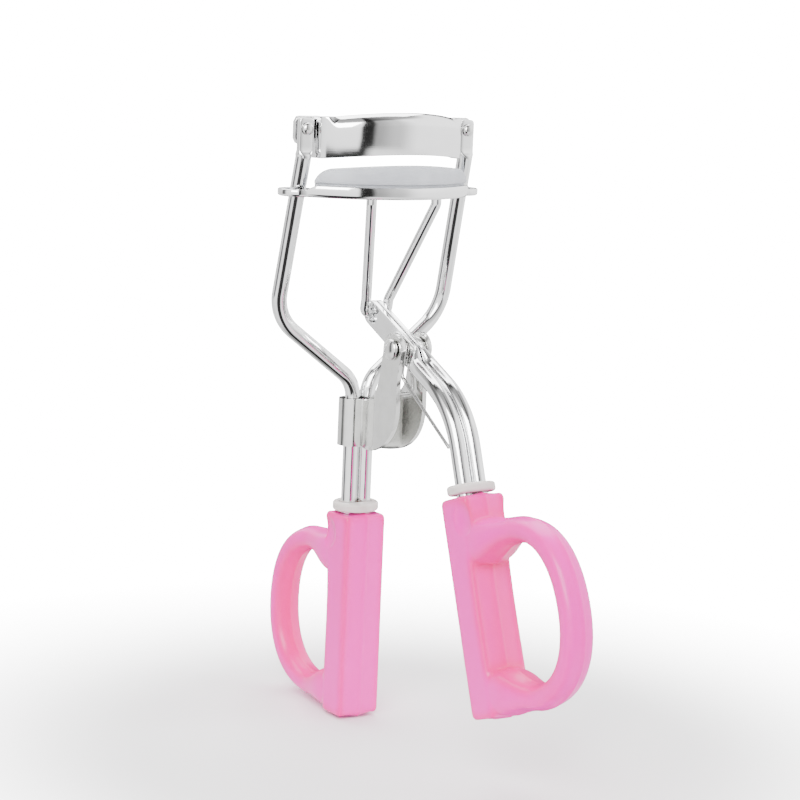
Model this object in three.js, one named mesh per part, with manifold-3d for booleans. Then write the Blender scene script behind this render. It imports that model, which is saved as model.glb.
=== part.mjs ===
// Eyelash curler with two looped handles, in millimetres, +Z up.
// X runs along the pivot rivet and -Y is the front, the lever's side. The origin is below the middle of
// the open curler, level with the end of the frame handle. Sizes below are measured from the pivot rivet.
import * as THREE from 'three';
import { mergeVertices } from 'three/addons/utils/BufferGeometryUtils.js';
import Module from 'manifold-3d';

// ---- driving sizes -------------------------------------------------------------------------
const GAP = 0.3; // running clearance between neighbouring pieces
const MERGE = 0.012; // facets closer than this are merged after a cut or a join

const PIVOT = { y: 7.28, z: 75 }; // middle of the pivot rivet, seen from the origin

const ROD_R = 1.5; // wire of the frame and of the lever
const ROD_X = 1.66; // half spacing of the paired wires
const FRAME_Y = 15.8; // plane of the paired frame wires
const FRAME_ROD_BOTTOM = -46;
const BEND_LOW = { y: 15.8, z: -8.6, r: 6 };
const BEND_HIGH = { x: 18.9, y: 17.1, z: 4.6, r: 9 };
const LEG_TOP = { x: 18.3, y: 10.2, z: 35.3 };
const TAB = { x: 18.15, y: 10.0, top: 42.5, halfWidth: 1.6, halfThick: 0.62 };
const TAB_RIVET_Z = 40.5;
const JAW_RIVET_R = 0.72; // shank; its head is wider

const JAW_R = 22; // arc radius of both jaws, seen from above
const JAW_CENTRE_Y = 23.9;
const SHEET = 0.9; // plate and bracket metal
const PLATE_LOW = 35.0; // lower edge of the plate at its ends
const PLATE_HIGH = 42.6; // upper edge of the plate at its ends
const PLATE_ARCH_LOW = 1.2;
const PLATE_ARCH_HIGH = 1.4;
const PLATE_ROLL = 1.5; // radius of the rolled top edge
const LUG_LIFT = 2.6;
const JAW_OPEN = 1.9; // pad to plate, as drawn

const TRAY_Z = 27.9;
const TRAY_HALF = 2.1;
const TRAY_WALL = 0.6;
const TRAY_FLOOR = 0.7;
const TRAY_HEIGHT = 2.3;
const TRAY_END_HEIGHT = 1.4;
const EYELET = { x: 18.48, y: 11.8, outer: 3.6, wall: 0.55, hole: 2.0 };
const PAD_FOOT = 1.2;
const PAD_HALF = 1.7;

const WIRE_R = 1.0; // push wire
const WIRE_TOP = { x: 7.3, y: 3.3, z: 28.45 };
const WIRE_PIN = { x: 2.55, y: 11.5, z: 5.4 };

const BLADE = { x: 0.7, halfThick: 0.55, halfWidth: 2.4, tip: 15.1 };
const BLADE_ANGLE = THREE.MathUtils.degToRad(25.2);
const LEVER_BEND = { y: -17.58, z: -8.27, r: 18 };
const LEVER_TILT = THREE.MathUtils.degToRad(19.3);
const LEVER_COLLAR = { y: -22.4, z: -22.3 };
const LEVER_ROD_IN = 14; // depth of the lever wires below the collar

const SLEEVE = { r: 2.25, low: -20.9, high: -11.7 };
const EAR_X = 3.0;
const EAR_R = 3.1;
const RIVET_R = 1.2;
const RIVET_HEAD_R = 2.05;

const SPRING_R = 0.35;
const SPRING_X = 1.9;
const SPRING_LOOP_R = 2.0;

const HANDLE = { length: 41, halfWidth: 4.6, back: 4.6, front: 4.3 };
const LOOP = { halfWidth: 3.0, halfThick: 2.5 };
const FRAME_HANDLE_TOP = -34;
const COLLAR_HEIGHT = 2.0;

// ---- materials -----------------------------------------------------------------------------
const chrome = new THREE.MeshStandardMaterial({ color: 0xd8dadc, metalness: 1, roughness: 0.12 });
const steel = new THREE.MeshStandardMaterial({ color: 0xc6c8c6, metalness: 1, roughness: 0.28 });
const silicone = new THREE.MeshStandardMaterial({ color: 0xdcdde0, metalness: 0, roughness: 0.55 });
const grommet = new THREE.MeshStandardMaterial({ color: 0xe6e4de, metalness: 0, roughness: 0.5 });
const pink = new THREE.MeshStandardMaterial({ color: 0xf59fcb, metalness: 0, roughness: 0.3 });

// ---- small tools ---------------------------------------------------------------------------
const wasm = await Module();
wasm.setup();

const V3 = (x, y, z) => new THREE.Vector3(x, y, z);
const V2 = (x, y) => new THREE.Vector2(x, y);

function toManifold(geometry) {
  const bare = geometry.clone();
  bare.deleteAttribute('normal');
  bare.deleteAttribute('uv');
  const merged = mergeVertices(bare, 1e-4);
  const vertProperties = new Float32Array(merged.attributes.position.array);
  const triVerts = new Uint32Array(merged.index.array);
  return new wasm.Manifold(new wasm.Mesh({ numProp: 3, vertProperties, triVerts }));
}

function toGeometry(solid) {
  const mesh = solid.asOriginal().simplify(MERGE).getMesh();
  const geometry = new THREE.BufferGeometry();
  geometry.setAttribute('position', new THREE.BufferAttribute(new Float32Array(mesh.vertProperties), 3));
  geometry.setIndex(new THREE.BufferAttribute(new Uint32Array(mesh.triVerts), 1));
  geometry.computeVertexNormals();
  return geometry;
}

// Skins a row of closed outlines; each station has an origin, two axes and an outline in them.
function skin(stations) {
  const count = stations[0].outline.length;
  const positions = [];
  for (const s of stations) {
    for (const p of s.outline) {
      const q = s.origin.clone().addScaledVector(s.u, p.x).addScaledVector(s.v, p.y);
      positions.push(q.x, q.y, q.z);
    }
  }
  const index = [];
  for (let i = 0; i + 1 < stations.length; i += 1) {
    for (let k = 0; k < count; k += 1) {
      const a = i * count + k;
      const b = i * count + ((k + 1) % count);
      index.push(a, b, b + count, a, b + count, a + count);
    }
  }
  const last = (stations.length - 1) * count;
  for (const [a, b, c] of THREE.ShapeUtils.triangulateShape(stations[0].outline, [])) {
    index.push(c, b, a);
  }
  for (const [a, b, c] of THREE.ShapeUtils.triangulateShape(stations.at(-1).outline, [])) {
    index.push(last + a, last + b, last + c);
  }
  if (volume(positions, index) < 0) {
    index.reverse();
  }
  const geometry = new THREE.BufferGeometry();
  geometry.setAttribute('position', new THREE.Float32BufferAttribute(positions, 3));
  geometry.setIndex(index);
  geometry.computeVertexNormals();
  return geometry;
}

function volume(positions, index) {
  const corner = (i) => V3(positions[3 * i], positions[3 * i + 1], positions[3 * i + 2]);
  let sum = 0;
  for (let i = 0; i < index.length; i += 3) {
    sum += corner(index[i]).dot(corner(index[i + 1]).cross(corner(index[i + 2])));
  }
  return sum;
}

// Polyline through the corners with round bends; radii[i] belongs to corner i.
function bentPath(corners, radii, steps = 8) {
  const path = [corners[0].clone()];
  for (let i = 1; i + 1 < corners.length; i += 1) {
    const back = corners[i - 1].clone().sub(corners[i]).normalize();
    const ahead = corners[i + 1].clone().sub(corners[i]).normalize();
    const half = back.angleTo(ahead) / 2;
    const reach = radii[i] / Math.tan(half);
    const centre = back.clone().add(ahead).normalize().multiplyScalar(radii[i] / Math.sin(half));
    centre.add(corners[i]);
    const start = corners[i].clone().addScaledVector(back, reach).sub(centre);
    const end = corners[i].clone().addScaledVector(ahead, reach).sub(centre);
    const sweep = Math.PI - 2 * half;
    for (let k = 0; k <= steps; k += 1) {
      const a = (k / steps) * sweep;
      const p = start.clone().multiplyScalar(Math.sin(sweep - a) / Math.sin(sweep));
      p.addScaledVector(end, Math.sin(a) / Math.sin(sweep));
      path.push(p.add(centre));
    }
  }
  path.push(corners.at(-1).clone());
  return path;
}

// Rounded outline: power 2 is an ellipse, higher powers are flatter.
function roundOutline(a, b, power = 2, count = 18) {
  const outline = [];
  for (let k = 0; k < count; k += 1) {
    const t = ((k + 0.5) / count) * 2 * Math.PI;
    const c = Math.cos(t);
    const s = Math.sin(t);
    outline.push(V2(
      a * Math.sign(c) * Math.abs(c) ** (2 / power),
      b * Math.sign(s) * Math.abs(s) ** (2 / power),
    ));
  }
  return outline;
}

// Stations along a path with the first axis kept as close as possible to the guide direction.
function alongPath(path, guide, outlineAt) {
  return path.map((origin, i) => {
    const before = path[Math.max(i - 1, 0)];
    const after = path[Math.min(i + 1, path.length - 1)];
    const t = after.clone().sub(before).normalize();
    const u = guide.clone().addScaledVector(t, -guide.dot(t)).normalize();
    const v = t.clone().cross(u);
    return { origin, u, v, outline: outlineAt(i) };
  });
}

function tube(path, radius, guide, count = 14) {
  return skin(alongPath(path, guide, () => roundOutline(radius, radius, 2, count)));
}

// Solid bar along X, used as a drill.
function drill(radius, y, z, half = 10, x = 0) {
  const bar = new THREE.CylinderGeometry(radius, radius, 2 * half, 20);
  bar.rotateZ(Math.PI / 2);
  bar.translate(x, y, z);
  return toManifold(bar);
}

// Outline drawn in the Y-Z plane and extruded along X, centred on x = 0.
function sideSlab(points, halfWidth) {
  const slab = new THREE.ExtrudeGeometry(new THREE.Shape(points), {
    depth: 2 * halfWidth, bevelEnabled: false, curveSegments: 24,
  });
  slab.translate(0, 0, -halfWidth);
  slab.rotateX(Math.PI / 2);
  slab.rotateZ(Math.PI / 2);
  return slab;
}

const jawPoint = (radius, angle, z) => V3(
  radius * Math.sin(angle),
  JAW_CENTRE_Y - radius * Math.cos(angle),
  z,
);
const arch = (x) => 1 - Math.min(1, (x / 16) ** 2);
const mirrorX = (points) => points.map((p) => V2(-p.x, p.y)).reverse();

function spread(from, to, count) {
  return Array.from({ length: count + 1 }, (_, i) => from + ((to - from) * i) / count);
}

// ---- frame wires ---------------------------------------------------------------------------
function frameRod(side) {
  const lower = bentPath(
    [
      V3(side * ROD_X, FRAME_Y, FRAME_ROD_BOTTOM),
      V3(side * ROD_X, BEND_LOW.y, BEND_LOW.z),
      V3(side * BEND_HIGH.x, BEND_HIGH.y, BEND_HIGH.z),
      V3(side * LEG_TOP.x, LEG_TOP.y, LEG_TOP.z),
    ],
    [0, BEND_LOW.r, BEND_HIGH.r, 0],
    7,
  );
  const round = roundOutline(ROD_R, ROD_R, 2, 16);
  const flat = (w, t) => roundOutline(w, t, 5, 16);
  const stations = alongPath(lower, V3(1, 0, 0), () => round);
  const ends = [
    [0.35, TAB.halfWidth, 1.35, 2.4],
    [0.8, TAB.halfWidth, 0.95, 3.5],
    [1.3, TAB.halfWidth, TAB.halfThick, 5],
    [TAB.top - LEG_TOP.z - 0.5, TAB.halfWidth, TAB.halfThick, 5],
    [TAB.top - LEG_TOP.z - 0.12, TAB.halfWidth - 0.2, TAB.halfThick, 5],
    [TAB.top - LEG_TOP.z, TAB.halfWidth - 0.5, TAB.halfThick - 0.15, 5],
  ];
  for (const [rise, w, t, power] of ends) {
    const settle = Math.min(1, rise / 1.3);
    stations.push({
      origin: V3(
        side * THREE.MathUtils.lerp(LEG_TOP.x, TAB.x, settle),
        THREE.MathUtils.lerp(LEG_TOP.y, TAB.y, settle),
        LEG_TOP.z + rise,
      ),
      u: V3(1, 0, 0),
      v: V3(0, 1, 0),
      outline: power === 5 ? flat(w, t) : roundOutline(w, t, power, 16),
    });
  }
  const hole = new THREE.CylinderGeometry(JAW_RIVET_R + GAP, JAW_RIVET_R + GAP, 6, 24);
  hole.translate(side * TAB.x, TAB.y, TAB_RIVET_Z);
  return toGeometry(toManifold(skin(stations)).subtract(toManifold(hole)));
}

// ---- upper jaw plate and its rivets --------------------------------------------------------
const LUG_Y = TAB.y + TAB.halfThick + GAP + SHEET / 2;

function platePlan() {
  const turn = Math.asin(14.9 / JAW_R);
  const arcPart = spread(-turn, turn, 28).map((a) => jawPoint(JAW_R, a, 0));
  const end = bentPath(
    [
      jawPoint(JAW_R, turn, 0),
      V3(15.45, 8.55, 0),
      V3(15.72, LUG_Y, 0),
      V3(TAB.x + TAB.halfWidth + 0.1, LUG_Y, 0),
    ],
    [0, 1.2, 0.75, 0],
    3,
  ).slice(1);
  const left = end.map((p) => V3(-p.x, p.y, 0)).reverse();
  return [...left, ...arcPart, ...end];
}

function upperPlate() {
  const plan = platePlan();
  const t = SHEET / 2;
  const stations = plan.map((p, i) => {
    const before = plan[Math.max(i - 1, 0)];
    const after = plan[Math.min(i + 1, plan.length - 1)];
    const along = after.clone().sub(before).normalize();
    const inward = V3(-along.y, along.x, 0);
    const rise = arch(p.x);
    // the lugs start above the round shoulders of the frame wires
    const lift = LUG_LIFT * THREE.MathUtils.clamp((Math.abs(p.x) - 15.8) / 0.5, 0, 1);
    const low = PLATE_LOW + PLATE_ARCH_LOW * rise + lift;
    const high = PLATE_HIGH + PLATE_ARCH_HIGH * rise;
    // the roll fades out before the lugs
    const roll = THREE.MathUtils.lerp(0.06, 1, THREE.MathUtils.clamp((15.3 - Math.abs(p.x)) / 2.4, 0, 1));
    const turned = THREE.MathUtils.degToRad(80) * roll;
    const over = PLATE_ROLL + SHEET;
    const base = high - over * Math.sin(turned);
    const foot = [V2(-t, low + 0.12), V2(-t + 0.15, low), V2(t - 0.15, low), V2(t, low + 0.12)];
    const inner = [];
    const outer = [];
    for (const angle of spread(0, turned, 3)) {
      const c = Math.cos(angle);
      const s = Math.sin(angle);
      inner.push(V2(t + PLATE_ROLL * (1 - c), base + PLATE_ROLL * s));
      outer.push(V2(t + PLATE_ROLL - over * c, base + over * s));
    }
    return {
      origin: V3(p.x, p.y, 0),
      u: inward,
      v: V3(0, 0, 1),
      outline: [...foot, ...inner, ...outer.reverse()],
    };
  });
  let plate = toManifold(skin(stations));
  for (const side of [-1, 1]) {
    const hole = new THREE.CylinderGeometry(JAW_RIVET_R + GAP, JAW_RIVET_R + GAP, 6, 24);
    hole.translate(side * TAB.x, LUG_Y, TAB_RIVET_Z);
    plate = plate.subtract(toManifold(hole));
  }
  return toGeometry(plate);
}

function jawRivet(side) {
  const front = TAB.y - TAB.halfThick - 0.2;
  const back = LUG_Y + SHEET / 2 + 0.2;
  const length = back - front;
  const profile = [
    V2(0, -0.75), V2(0.5, -0.68), V2(0.9, -0.45), V2(1.15, -0.12), V2(1.18, 0),
    V2(JAW_RIVET_R, 0), V2(JAW_RIVET_R, length),
    V2(1.2, length), V2(1.2, length + 0.35), V2(0.95, length + 0.55), V2(0, length + 0.6),
  ];
  const rivet = new THREE.LatheGeometry(profile, 14);
  rivet.translate(side * TAB.x, front, TAB_RIVET_Z);
  return rivet;
}

// ---- lower jaw -----------------------------------------------------------------------------
function tray() {
  const limit = THREE.MathUtils.degToRad(50);
  const stations = spread(-limit, limit, 32).map((angle) => {
    const steep = THREE.MathUtils.clamp((51 - Math.abs(THREE.MathUtils.radToDeg(angle))) / 6, 0, 1);
    const height = THREE.MathUtils.lerp(TRAY_END_HEIGHT, TRAY_HEIGHT, steep);
    const w = TRAY_HALF;
    const n = TRAY_HALF - TRAY_WALL;
    return {
      origin: jawPoint(JAW_R, angle, TRAY_Z),
      u: V3(Math.sin(angle), -Math.cos(angle), 0),
      v: V3(0, 0, 1),
      outline: [
        V2(-w + 0.4, 0), V2(w - 0.4, 0), V2(w - 0.1, 0.12), V2(w, 0.45),
        V2(w, height - 0.15), V2(w - 0.15, height), V2(n, height), V2(n, TRAY_FLOOR),
        V2(-n, TRAY_FLOOR), V2(-n, height), V2(-w + 0.15, height), V2(-w, height - 0.15),
        V2(-w, 0.45), V2(-w + 0.1, 0.12),
      ],
    };
  });
  let body = toManifold(skin(stations));
  for (const side of [-1, 1]) {
    const { outer, wall, hole } = EYELET;
    const ring = new THREE.LatheGeometry([
      V2(hole, 0), V2(outer - 0.35, 0), V2(outer - 0.08, 0.12), V2(outer, 0.45),
      V2(outer, TRAY_END_HEIGHT - 0.12), V2(outer - 0.12, TRAY_END_HEIGHT),
      V2(outer - wall + 0.1, TRAY_END_HEIGHT), V2(outer - wall, TRAY_END_HEIGHT - 0.1),
      V2(outer - wall, TRAY_FLOOR), V2(hole, TRAY_FLOOR), V2(hole, 0),
    ], 24);
    ring.rotateX(Math.PI / 2);
    ring.translate(side * EYELET.x, EYELET.y, TRAY_Z);
    body = body.add(toManifold(ring));
    const clear = new THREE.CylinderGeometry(hole, hole, 8, 24);
    clear.rotateX(Math.PI / 2);
    clear.translate(side * EYELET.x, EYELET.y, TRAY_Z);
    body = body.subtract(toManifold(clear));
    const seat = new THREE.CylinderGeometry(WIRE_R + 0.35, WIRE_R + 0.35, 3, 14);
    seat.rotateX(Math.PI / 2);
    seat.translate(side * WIRE_TOP.x, WIRE_TOP.y, TRAY_Z);
    body = body.subtract(toManifold(seat));
  }
  return toGeometry(body);
}

function pad() {
  const limit = THREE.MathUtils.degToRad(47);
  const stations = spread(-limit, limit, 32).map((angle) => {
    const x = JAW_R * Math.sin(angle);
    const edge = (limit - Math.abs(angle)) / THREE.MathUtils.degToRad(7.5);
    const round = Math.sqrt(1 - (1 - Math.min(1, Math.max(0.02, edge))) ** 2);
    const full = PLATE_LOW - JAW_OPEN + PLATE_ARCH_LOW * arch(x);
    const shoulder = 30.55;
    const top = THREE.MathUtils.lerp(shoulder + 0.35, full, round);
    const h = top - shoulder;
    const wide = PAD_FOOT + (PAD_HALF - PAD_FOOT) * Math.min(1, h / 1.2);
    return {
      origin: jawPoint(JAW_R, angle, 0),
      u: V3(Math.sin(angle), -Math.cos(angle), 0),
      v: V3(0, 0, 1),
      outline: [
        V2(-PAD_FOOT, 28.9), V2(PAD_FOOT, 28.9), V2(PAD_FOOT, shoulder),
        V2(wide, shoulder + 0.12 * h), V2(wide * 0.98, shoulder + 0.55 * h),
        V2(wide * 0.86, shoulder + 0.8 * h), V2(wide * 0.6, shoulder + 0.94 * h),
        V2(wide * 0.2, top), V2(-wide * 0.2, top), V2(-wide * 0.6, shoulder + 0.94 * h),
        V2(-wide * 0.86, shoulder + 0.8 * h), V2(-wide * 0.98, shoulder + 0.55 * h),
        V2(-wide, shoulder + 0.12 * h), V2(-PAD_FOOT, shoulder),
      ],
    };
  });
  return skin(stations);
}

// ---- push wire -----------------------------------------------------------------------------
function pushWire() {
  const { x, y, z } = WIRE_PIN;
  const path = bentPath(
    [
      V3(-WIRE_TOP.x, WIRE_TOP.y, WIRE_TOP.z),
      V3(-WIRE_TOP.x, WIRE_TOP.y, WIRE_TOP.z - 1.6),
      V3(-x, y - 0.45, z + 2.6),
      V3(-x, y, z),
      V3(x, y, z),
      V3(x, y - 0.45, z + 2.6),
      V3(WIRE_TOP.x, WIRE_TOP.y, WIRE_TOP.z - 1.6),
      V3(WIRE_TOP.x, WIRE_TOP.y, WIRE_TOP.z),
    ],
    [0, 1.6, 2.5, 1.15, 1.15, 2.5, 1.6, 0],
    4,
  );
  return tube(path, WIRE_R, V3(0, 1, 0), 12);
}

// ---- lever wires ---------------------------------------------------------------------------
function leverRod(side) {
  const dir = V3(0, Math.cos(BLADE_ANGLE), Math.sin(BLADE_ANGLE));
  const down = V3(0, -Math.sin(LEVER_TILT), -Math.cos(LEVER_TILT));
  const end = V3(0, LEVER_COLLAR.y, LEVER_COLLAR.z).addScaledVector(down, LEVER_ROD_IN);
  const round = bentPath(
    [dir.clone().multiplyScalar(-6.6), V3(0, LEVER_BEND.y, LEVER_BEND.z), end],
    [0, LEVER_BEND.r, 0],
    9,
  );
  const stations = [];
  const place = (s, half, thick, x, power) => {
    stations.push({
      origin: dir.clone().multiplyScalar(s).add(V3(side * x, 0, 0)),
      u: V3(1, 0, 0),
      v: V3(0, -dir.z, dir.y),
      outline: roundOutline(thick, half, power, 16),
    });
  };
  // rounded tip, flat blade, then the blade grows back into round wire
  const tipCentre = BLADE.tip - BLADE.halfWidth;
  for (const a of [8, 20, 35, 52, 68, 82]) {
    const angle = THREE.MathUtils.degToRad(a);
    place(
      tipCentre + BLADE.halfWidth * Math.cos(angle),
      BLADE.halfWidth * Math.sin(angle),
      BLADE.halfThick - (a < 15 ? 0.15 : 0),
      BLADE.x,
      5,
    );
  }
  place(-3.0, BLADE.halfWidth, BLADE.halfThick, BLADE.x, 5);
  place(-3.9, 2.25, 0.75, 0.92, 3.6);
  place(-4.8, 1.9, 1.15, 1.32, 2.6);
  place(-5.7, 1.6, 1.42, 1.58, 2.1);
  for (const s of alongPath(round, V3(1, 0, 0), () => roundOutline(ROD_R, ROD_R, 2, 16))) {
    s.origin.x += side * ROD_X;
    stations.push(s);
  }
  let rod = toManifold(skin(stations));
  const slide = 1.2; // the wire hole is a short slot running toward the pivot
  const slot = new THREE.Shape();
  const r = WIRE_R + 0.4;
  slot.absarc(0, 0, r, Math.PI / 2, -Math.PI / 2, true);
  slot.absarc(-slide, 0, r, -Math.PI / 2, -1.5 * Math.PI, true);
  const cut = sideSlab(slot.getPoints(7), 6);
  cut.rotateX(BLADE_ANGLE);
  cut.translate(0, WIRE_PIN.y, WIRE_PIN.z);
  rod = rod.subtract(toManifold(cut));
  rod = rod.subtract(drill(RIVET_R + GAP, 0, 0));
  return toGeometry(rod);
}

// ---- pivot bracket and rivet ---------------------------------------------------------------
function bracketPlan() {
  const rad = THREE.MathUtils.degToRad;
  const wrap = spread(-180, 8, 15).map((a) => V2(
    -ROD_X + SLEEVE.r * Math.sin(rad(a)),
    FRAME_Y - SLEEVE.r * Math.cos(rad(a)),
  ));
  // tight fold at the groove between the two wires
  const foldR = 0.6;
  const last = wrap.at(-1);
  const heading = rad(8);
  const fold = V2(last.x + foldR * Math.sin(heading), last.y - foldR * Math.cos(heading));
  const turn = spread(90 + 8, -16.5, 6).slice(1).map((a) => V2(
    fold.x + foldR * Math.cos(rad(a)),
    fold.y + foldR * Math.sin(rad(a)),
  ));
  const ear = bentPath(
    [
      V3(turn.at(-1).x, turn.at(-1).y, 0),
      V3(-EAR_X, 5.0, 0),
      V3(-EAR_X, -EAR_R - 0.5, 0),
    ],
    [0, 5, 0],
    6,
  ).slice(1).map((p) => V2(p.x, p.y));
  const leftHalf = [...wrap, ...turn, ...ear].reverse();
  return [...leftHalf, ...mirrorX(leftHalf)];
}

function offsetLine(line, distance) {
  return line.map((p, i) => {
    const before = line[Math.max(i - 1, 0)];
    const after = line[Math.min(i + 1, line.length - 1)];
    const t = after.clone().sub(before).normalize();
    return V2(p.x - t.y * distance, p.y + t.x * distance);
  });
}

function bracket() {
  const line = bracketPlan().filter((p, i, all) => i === 0 || p.distanceTo(all[i - 1]) > 0.02);
  const outline = [...offsetLine(line, SHEET / 2), ...offsetLine(line, -SHEET / 2).reverse()];
  const sheet = new THREE.ExtrudeGeometry(new THREE.Shape(outline), { depth: 30, bevelEnabled: false });
  sheet.translate(0, 0, -24);
  const { low, high } = SLEEVE;
  const lower = new THREE.SplineCurve([
    V2(-EAR_R + 0.35, -1.6), V2(-2.15, -3.6), V2(-1.95, -8), V2(-1.9, -12.6),
    V2(-0.6, -16.0), V2(2.2, -18.7), V2(6.2, -20.4), V2(10.5, low),
  ]).getPoints(18);
  const upper = new THREE.SplineCurve([
    V2(11.6, high), V2(8.4, -10.6), V2(5.7, -9.0), V2(4.3, -6.9), V2(3.6, -3.6), V2(EAR_R, -0.3),
  ]).getPoints(12);
  const crown = spread(0, 180, 12).map((a) => V2(
    EAR_R * Math.cos(THREE.MathUtils.degToRad(a)),
    EAR_R * Math.sin(THREE.MathUtils.degToRad(a)),
  ));
  const mask = sideSlab([...lower, V2(20, low), V2(20, high), ...upper, ...crown], 8);
  const formed = toManifold(sheet).intersect(toManifold(mask));
  return toGeometry(formed.subtract(drill(RIVET_R + GAP, 0, 0)));
}

function pivotRivet() {
  const seat = EAR_X + SHEET / 2 + 0.22;
  const half = [
    V2(RIVET_R, seat), V2(RIVET_HEAD_R, seat), V2(RIVET_HEAD_R, seat + 0.25),
    V2(RIVET_HEAD_R * 0.9, seat + 0.62), V2(RIVET_HEAD_R * 0.66, seat + 0.92),
    V2(RIVET_HEAD_R * 0.34, seat + 1.08), V2(0, seat + 1.12),
  ];
  const lower = half.map((p) => V2(p.x, -p.y)).reverse();
  const rivet = new THREE.LatheGeometry([...lower, ...half], 20);
  rivet.rotateZ(Math.PI / 2);
  return rivet;
}

// ---- return spring -------------------------------------------------------------------------
function springSide(side) {
  const x = side * SPRING_X;
  const rest = V3(x, -17.55, -15.75);
  const loopAt = (a) => {
    const angle = THREE.MathUtils.degToRad(a);
    return V3(x, SPRING_LOOP_R * Math.cos(angle), SPRING_LOOP_R * Math.sin(angle));
  };
  const over = spread(205, -20, 10).map(loopAt);
  const knee = V3(x, -1.2, -5.0);
  const arm = bentPath([rest, knee, over[0]], [0, 1.5, 0], 4).slice(0, -1);
  // front arm, over the rivet, down behind it to the bridge
  return [...arm, ...over];
}

function returnSpring() {
  const near = springSide(-1);
  const far = springSide(1).reverse();
  const bridge = bentPath(
    [
      near.at(-1),
      V3(-SPRING_X, 0.35, -8.6),
      V3(SPRING_X, 0.35, -8.6),
      far[0],
    ],
    [0, 1.2, 1.2, 0],
    6,
  ).slice(1, -1);
  return tube([...near, ...bridge, ...far], SPRING_R, V3(0.12, 1, 0.35), 8);
}

// ---- handles -------------------------------------------------------------------------------
// Local handle axes: a points away from the other handle, b points up the handle, top at b = 0.
function fingerLoop() {
  const route = new THREE.CurvePath();
  route.add(new THREE.LineCurve3(V3(-1.5, -9.4, 0), V3(3.5, -9.1, 0)));
  route.add(new THREE.CubicBezierCurve3(
    V3(3.5, -9.1, 0), V3(6, -8.9, 0), V3(8.5, -8.3, 0), V3(12, -8.3, 0),
  ));
  route.add(new THREE.CubicBezierCurve3(
    V3(12, -8.3, 0), V3(20, -8.3, 0), V3(25.2, -14.4, 0), V3(25.2, -23.8, 0),
  ));
  route.add(new THREE.CubicBezierCurve3(
    V3(25.2, -23.8, 0), V3(25.2, -32.8, 0), V3(20, -38.1, 0), V3(12, -38.1, 0),
  ));
  route.add(new THREE.LineCurve3(V3(12, -38.1, 0), V3(-1.5, -35.4, 0)));
  const points = route.getSpacedPoints(38);
  const outlineAt = (i) => {
    const near = THREE.MathUtils.smoothstep((14.5 - points[i].x) / 11, 0, 1);
    const wide = LOOP.halfWidth + 1.5 * near;
    return roundOutline(wide, LOOP.halfThick + 1.9 * near ** 2, 2.3 + 0.7 * near, 16);
  };
  return skin(alongPath(points, V3(0, 0, 1), outlineAt));
}

function handleSolid() {
  const { length, halfWidth, back, front } = HANDLE;
  const bevel = 1.3;
  const body = new THREE.Shape();
  body.moveTo(-back + bevel, -length + bevel);
  body.lineTo(1.6, -length + bevel);
  body.bezierCurveTo(1.9, -34, 1.6, -30, 1.6, -22.6);
  body.bezierCurveTo(1.6, -15, 1.8, -10, front - bevel, -6);
  body.lineTo(front - bevel, -bevel);
  body.lineTo(-back + bevel, -bevel);
  const bevelled = (shape, half, size, steps) => new THREE.ExtrudeGeometry(shape, {
    depth: 2 * (half - size), bevelEnabled: true, bevelThickness: size, bevelSize: size,
    bevelOffset: 0, bevelSegments: steps, curveSegments: 7,
  }).translate(0, 0, -(half - size));
  const trunk = bevelled(body, halfWidth, bevel, 3);
  let solid = toManifold(trunk).add(toManifold(fingerLoop()));
  // shallow finger scoop in each side face, above the loop
  for (const side of [-1, 1]) {
    const scoop = new THREE.SphereGeometry(1, 18, 10);
    scoop.scale(3.1, 3.4, 1.3);
    scoop.translate(2.6, -4.6, side * (halfWidth + 0.45));
    solid = solid.subtract(toManifold(scoop));
  }
  return solid;
}

// Turns handle axes (a, b, x) into world axes; outward is +1 toward +Y and -1 toward -Y.
function handleToWorld(geometry, outward) {
  const basis = new THREE.Matrix4().makeBasis(
    V3(0, outward, 0), V3(0, 0, 1), V3(outward, 0, 0),
  );
  return geometry.applyMatrix4(basis);
}

function wireSocket(depth, clearance) {
  const r = ROD_R + clearance;
  const slot = new THREE.Shape();
  slot.absarc(ROD_X, 0, r, -Math.PI / 2, Math.PI / 2, false);
  slot.absarc(-ROD_X, 0, r, Math.PI / 2, 1.5 * Math.PI, false);
  return new THREE.ExtrudeGeometry(slot, { depth, bevelEnabled: false, curveSegments: 8 });
}

function handle(outward, wireDepth) {
  const solid = handleToWorld(toGeometry(handleSolid()), outward);
  const socket = wireSocket(wireDepth + 1.3, GAP).translate(0, 0, -wireDepth - GAP);
  return toGeometry(toManifold(solid).subtract(toManifold(socket)));
}

function collar() {
  const shape = new THREE.Shape();
  shape.absellipse(0, 0, 4.2, 3.8, 0, 2 * Math.PI);
  const hole = new THREE.Path();
  const r = ROD_R + GAP;
  hole.absarc(ROD_X, 0, r, -Math.PI / 2, Math.PI / 2, false);
  hole.absarc(-ROD_X, 0, r, Math.PI / 2, 1.5 * Math.PI, false);
  hole.closePath();
  const flange = new THREE.ExtrudeGeometry(shape, {
    depth: COLLAR_HEIGHT - 0.9, bevelEnabled: true, bevelThickness: 0.45, bevelSize: 0.45,
    bevelSegments: 2, curveSegments: 14,
  }).translate(0, 0, 0.45);
  const socket = wireSocket(8, GAP).translate(0, 0, -3);
  return toGeometry(toManifold(flange).subtract(toManifold(socket)));
}

// ---- assembly ------------------------------------------------------------------------------
const curler = new THREE.Group();

function addPiece(parent, name, geometry, material) {
  const mesh = new THREE.Mesh(geometry, material);
  mesh.name = name;
  parent.add(mesh);
  return mesh;
}

curler.position.set(0, PIVOT.y, PIVOT.z);

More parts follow.
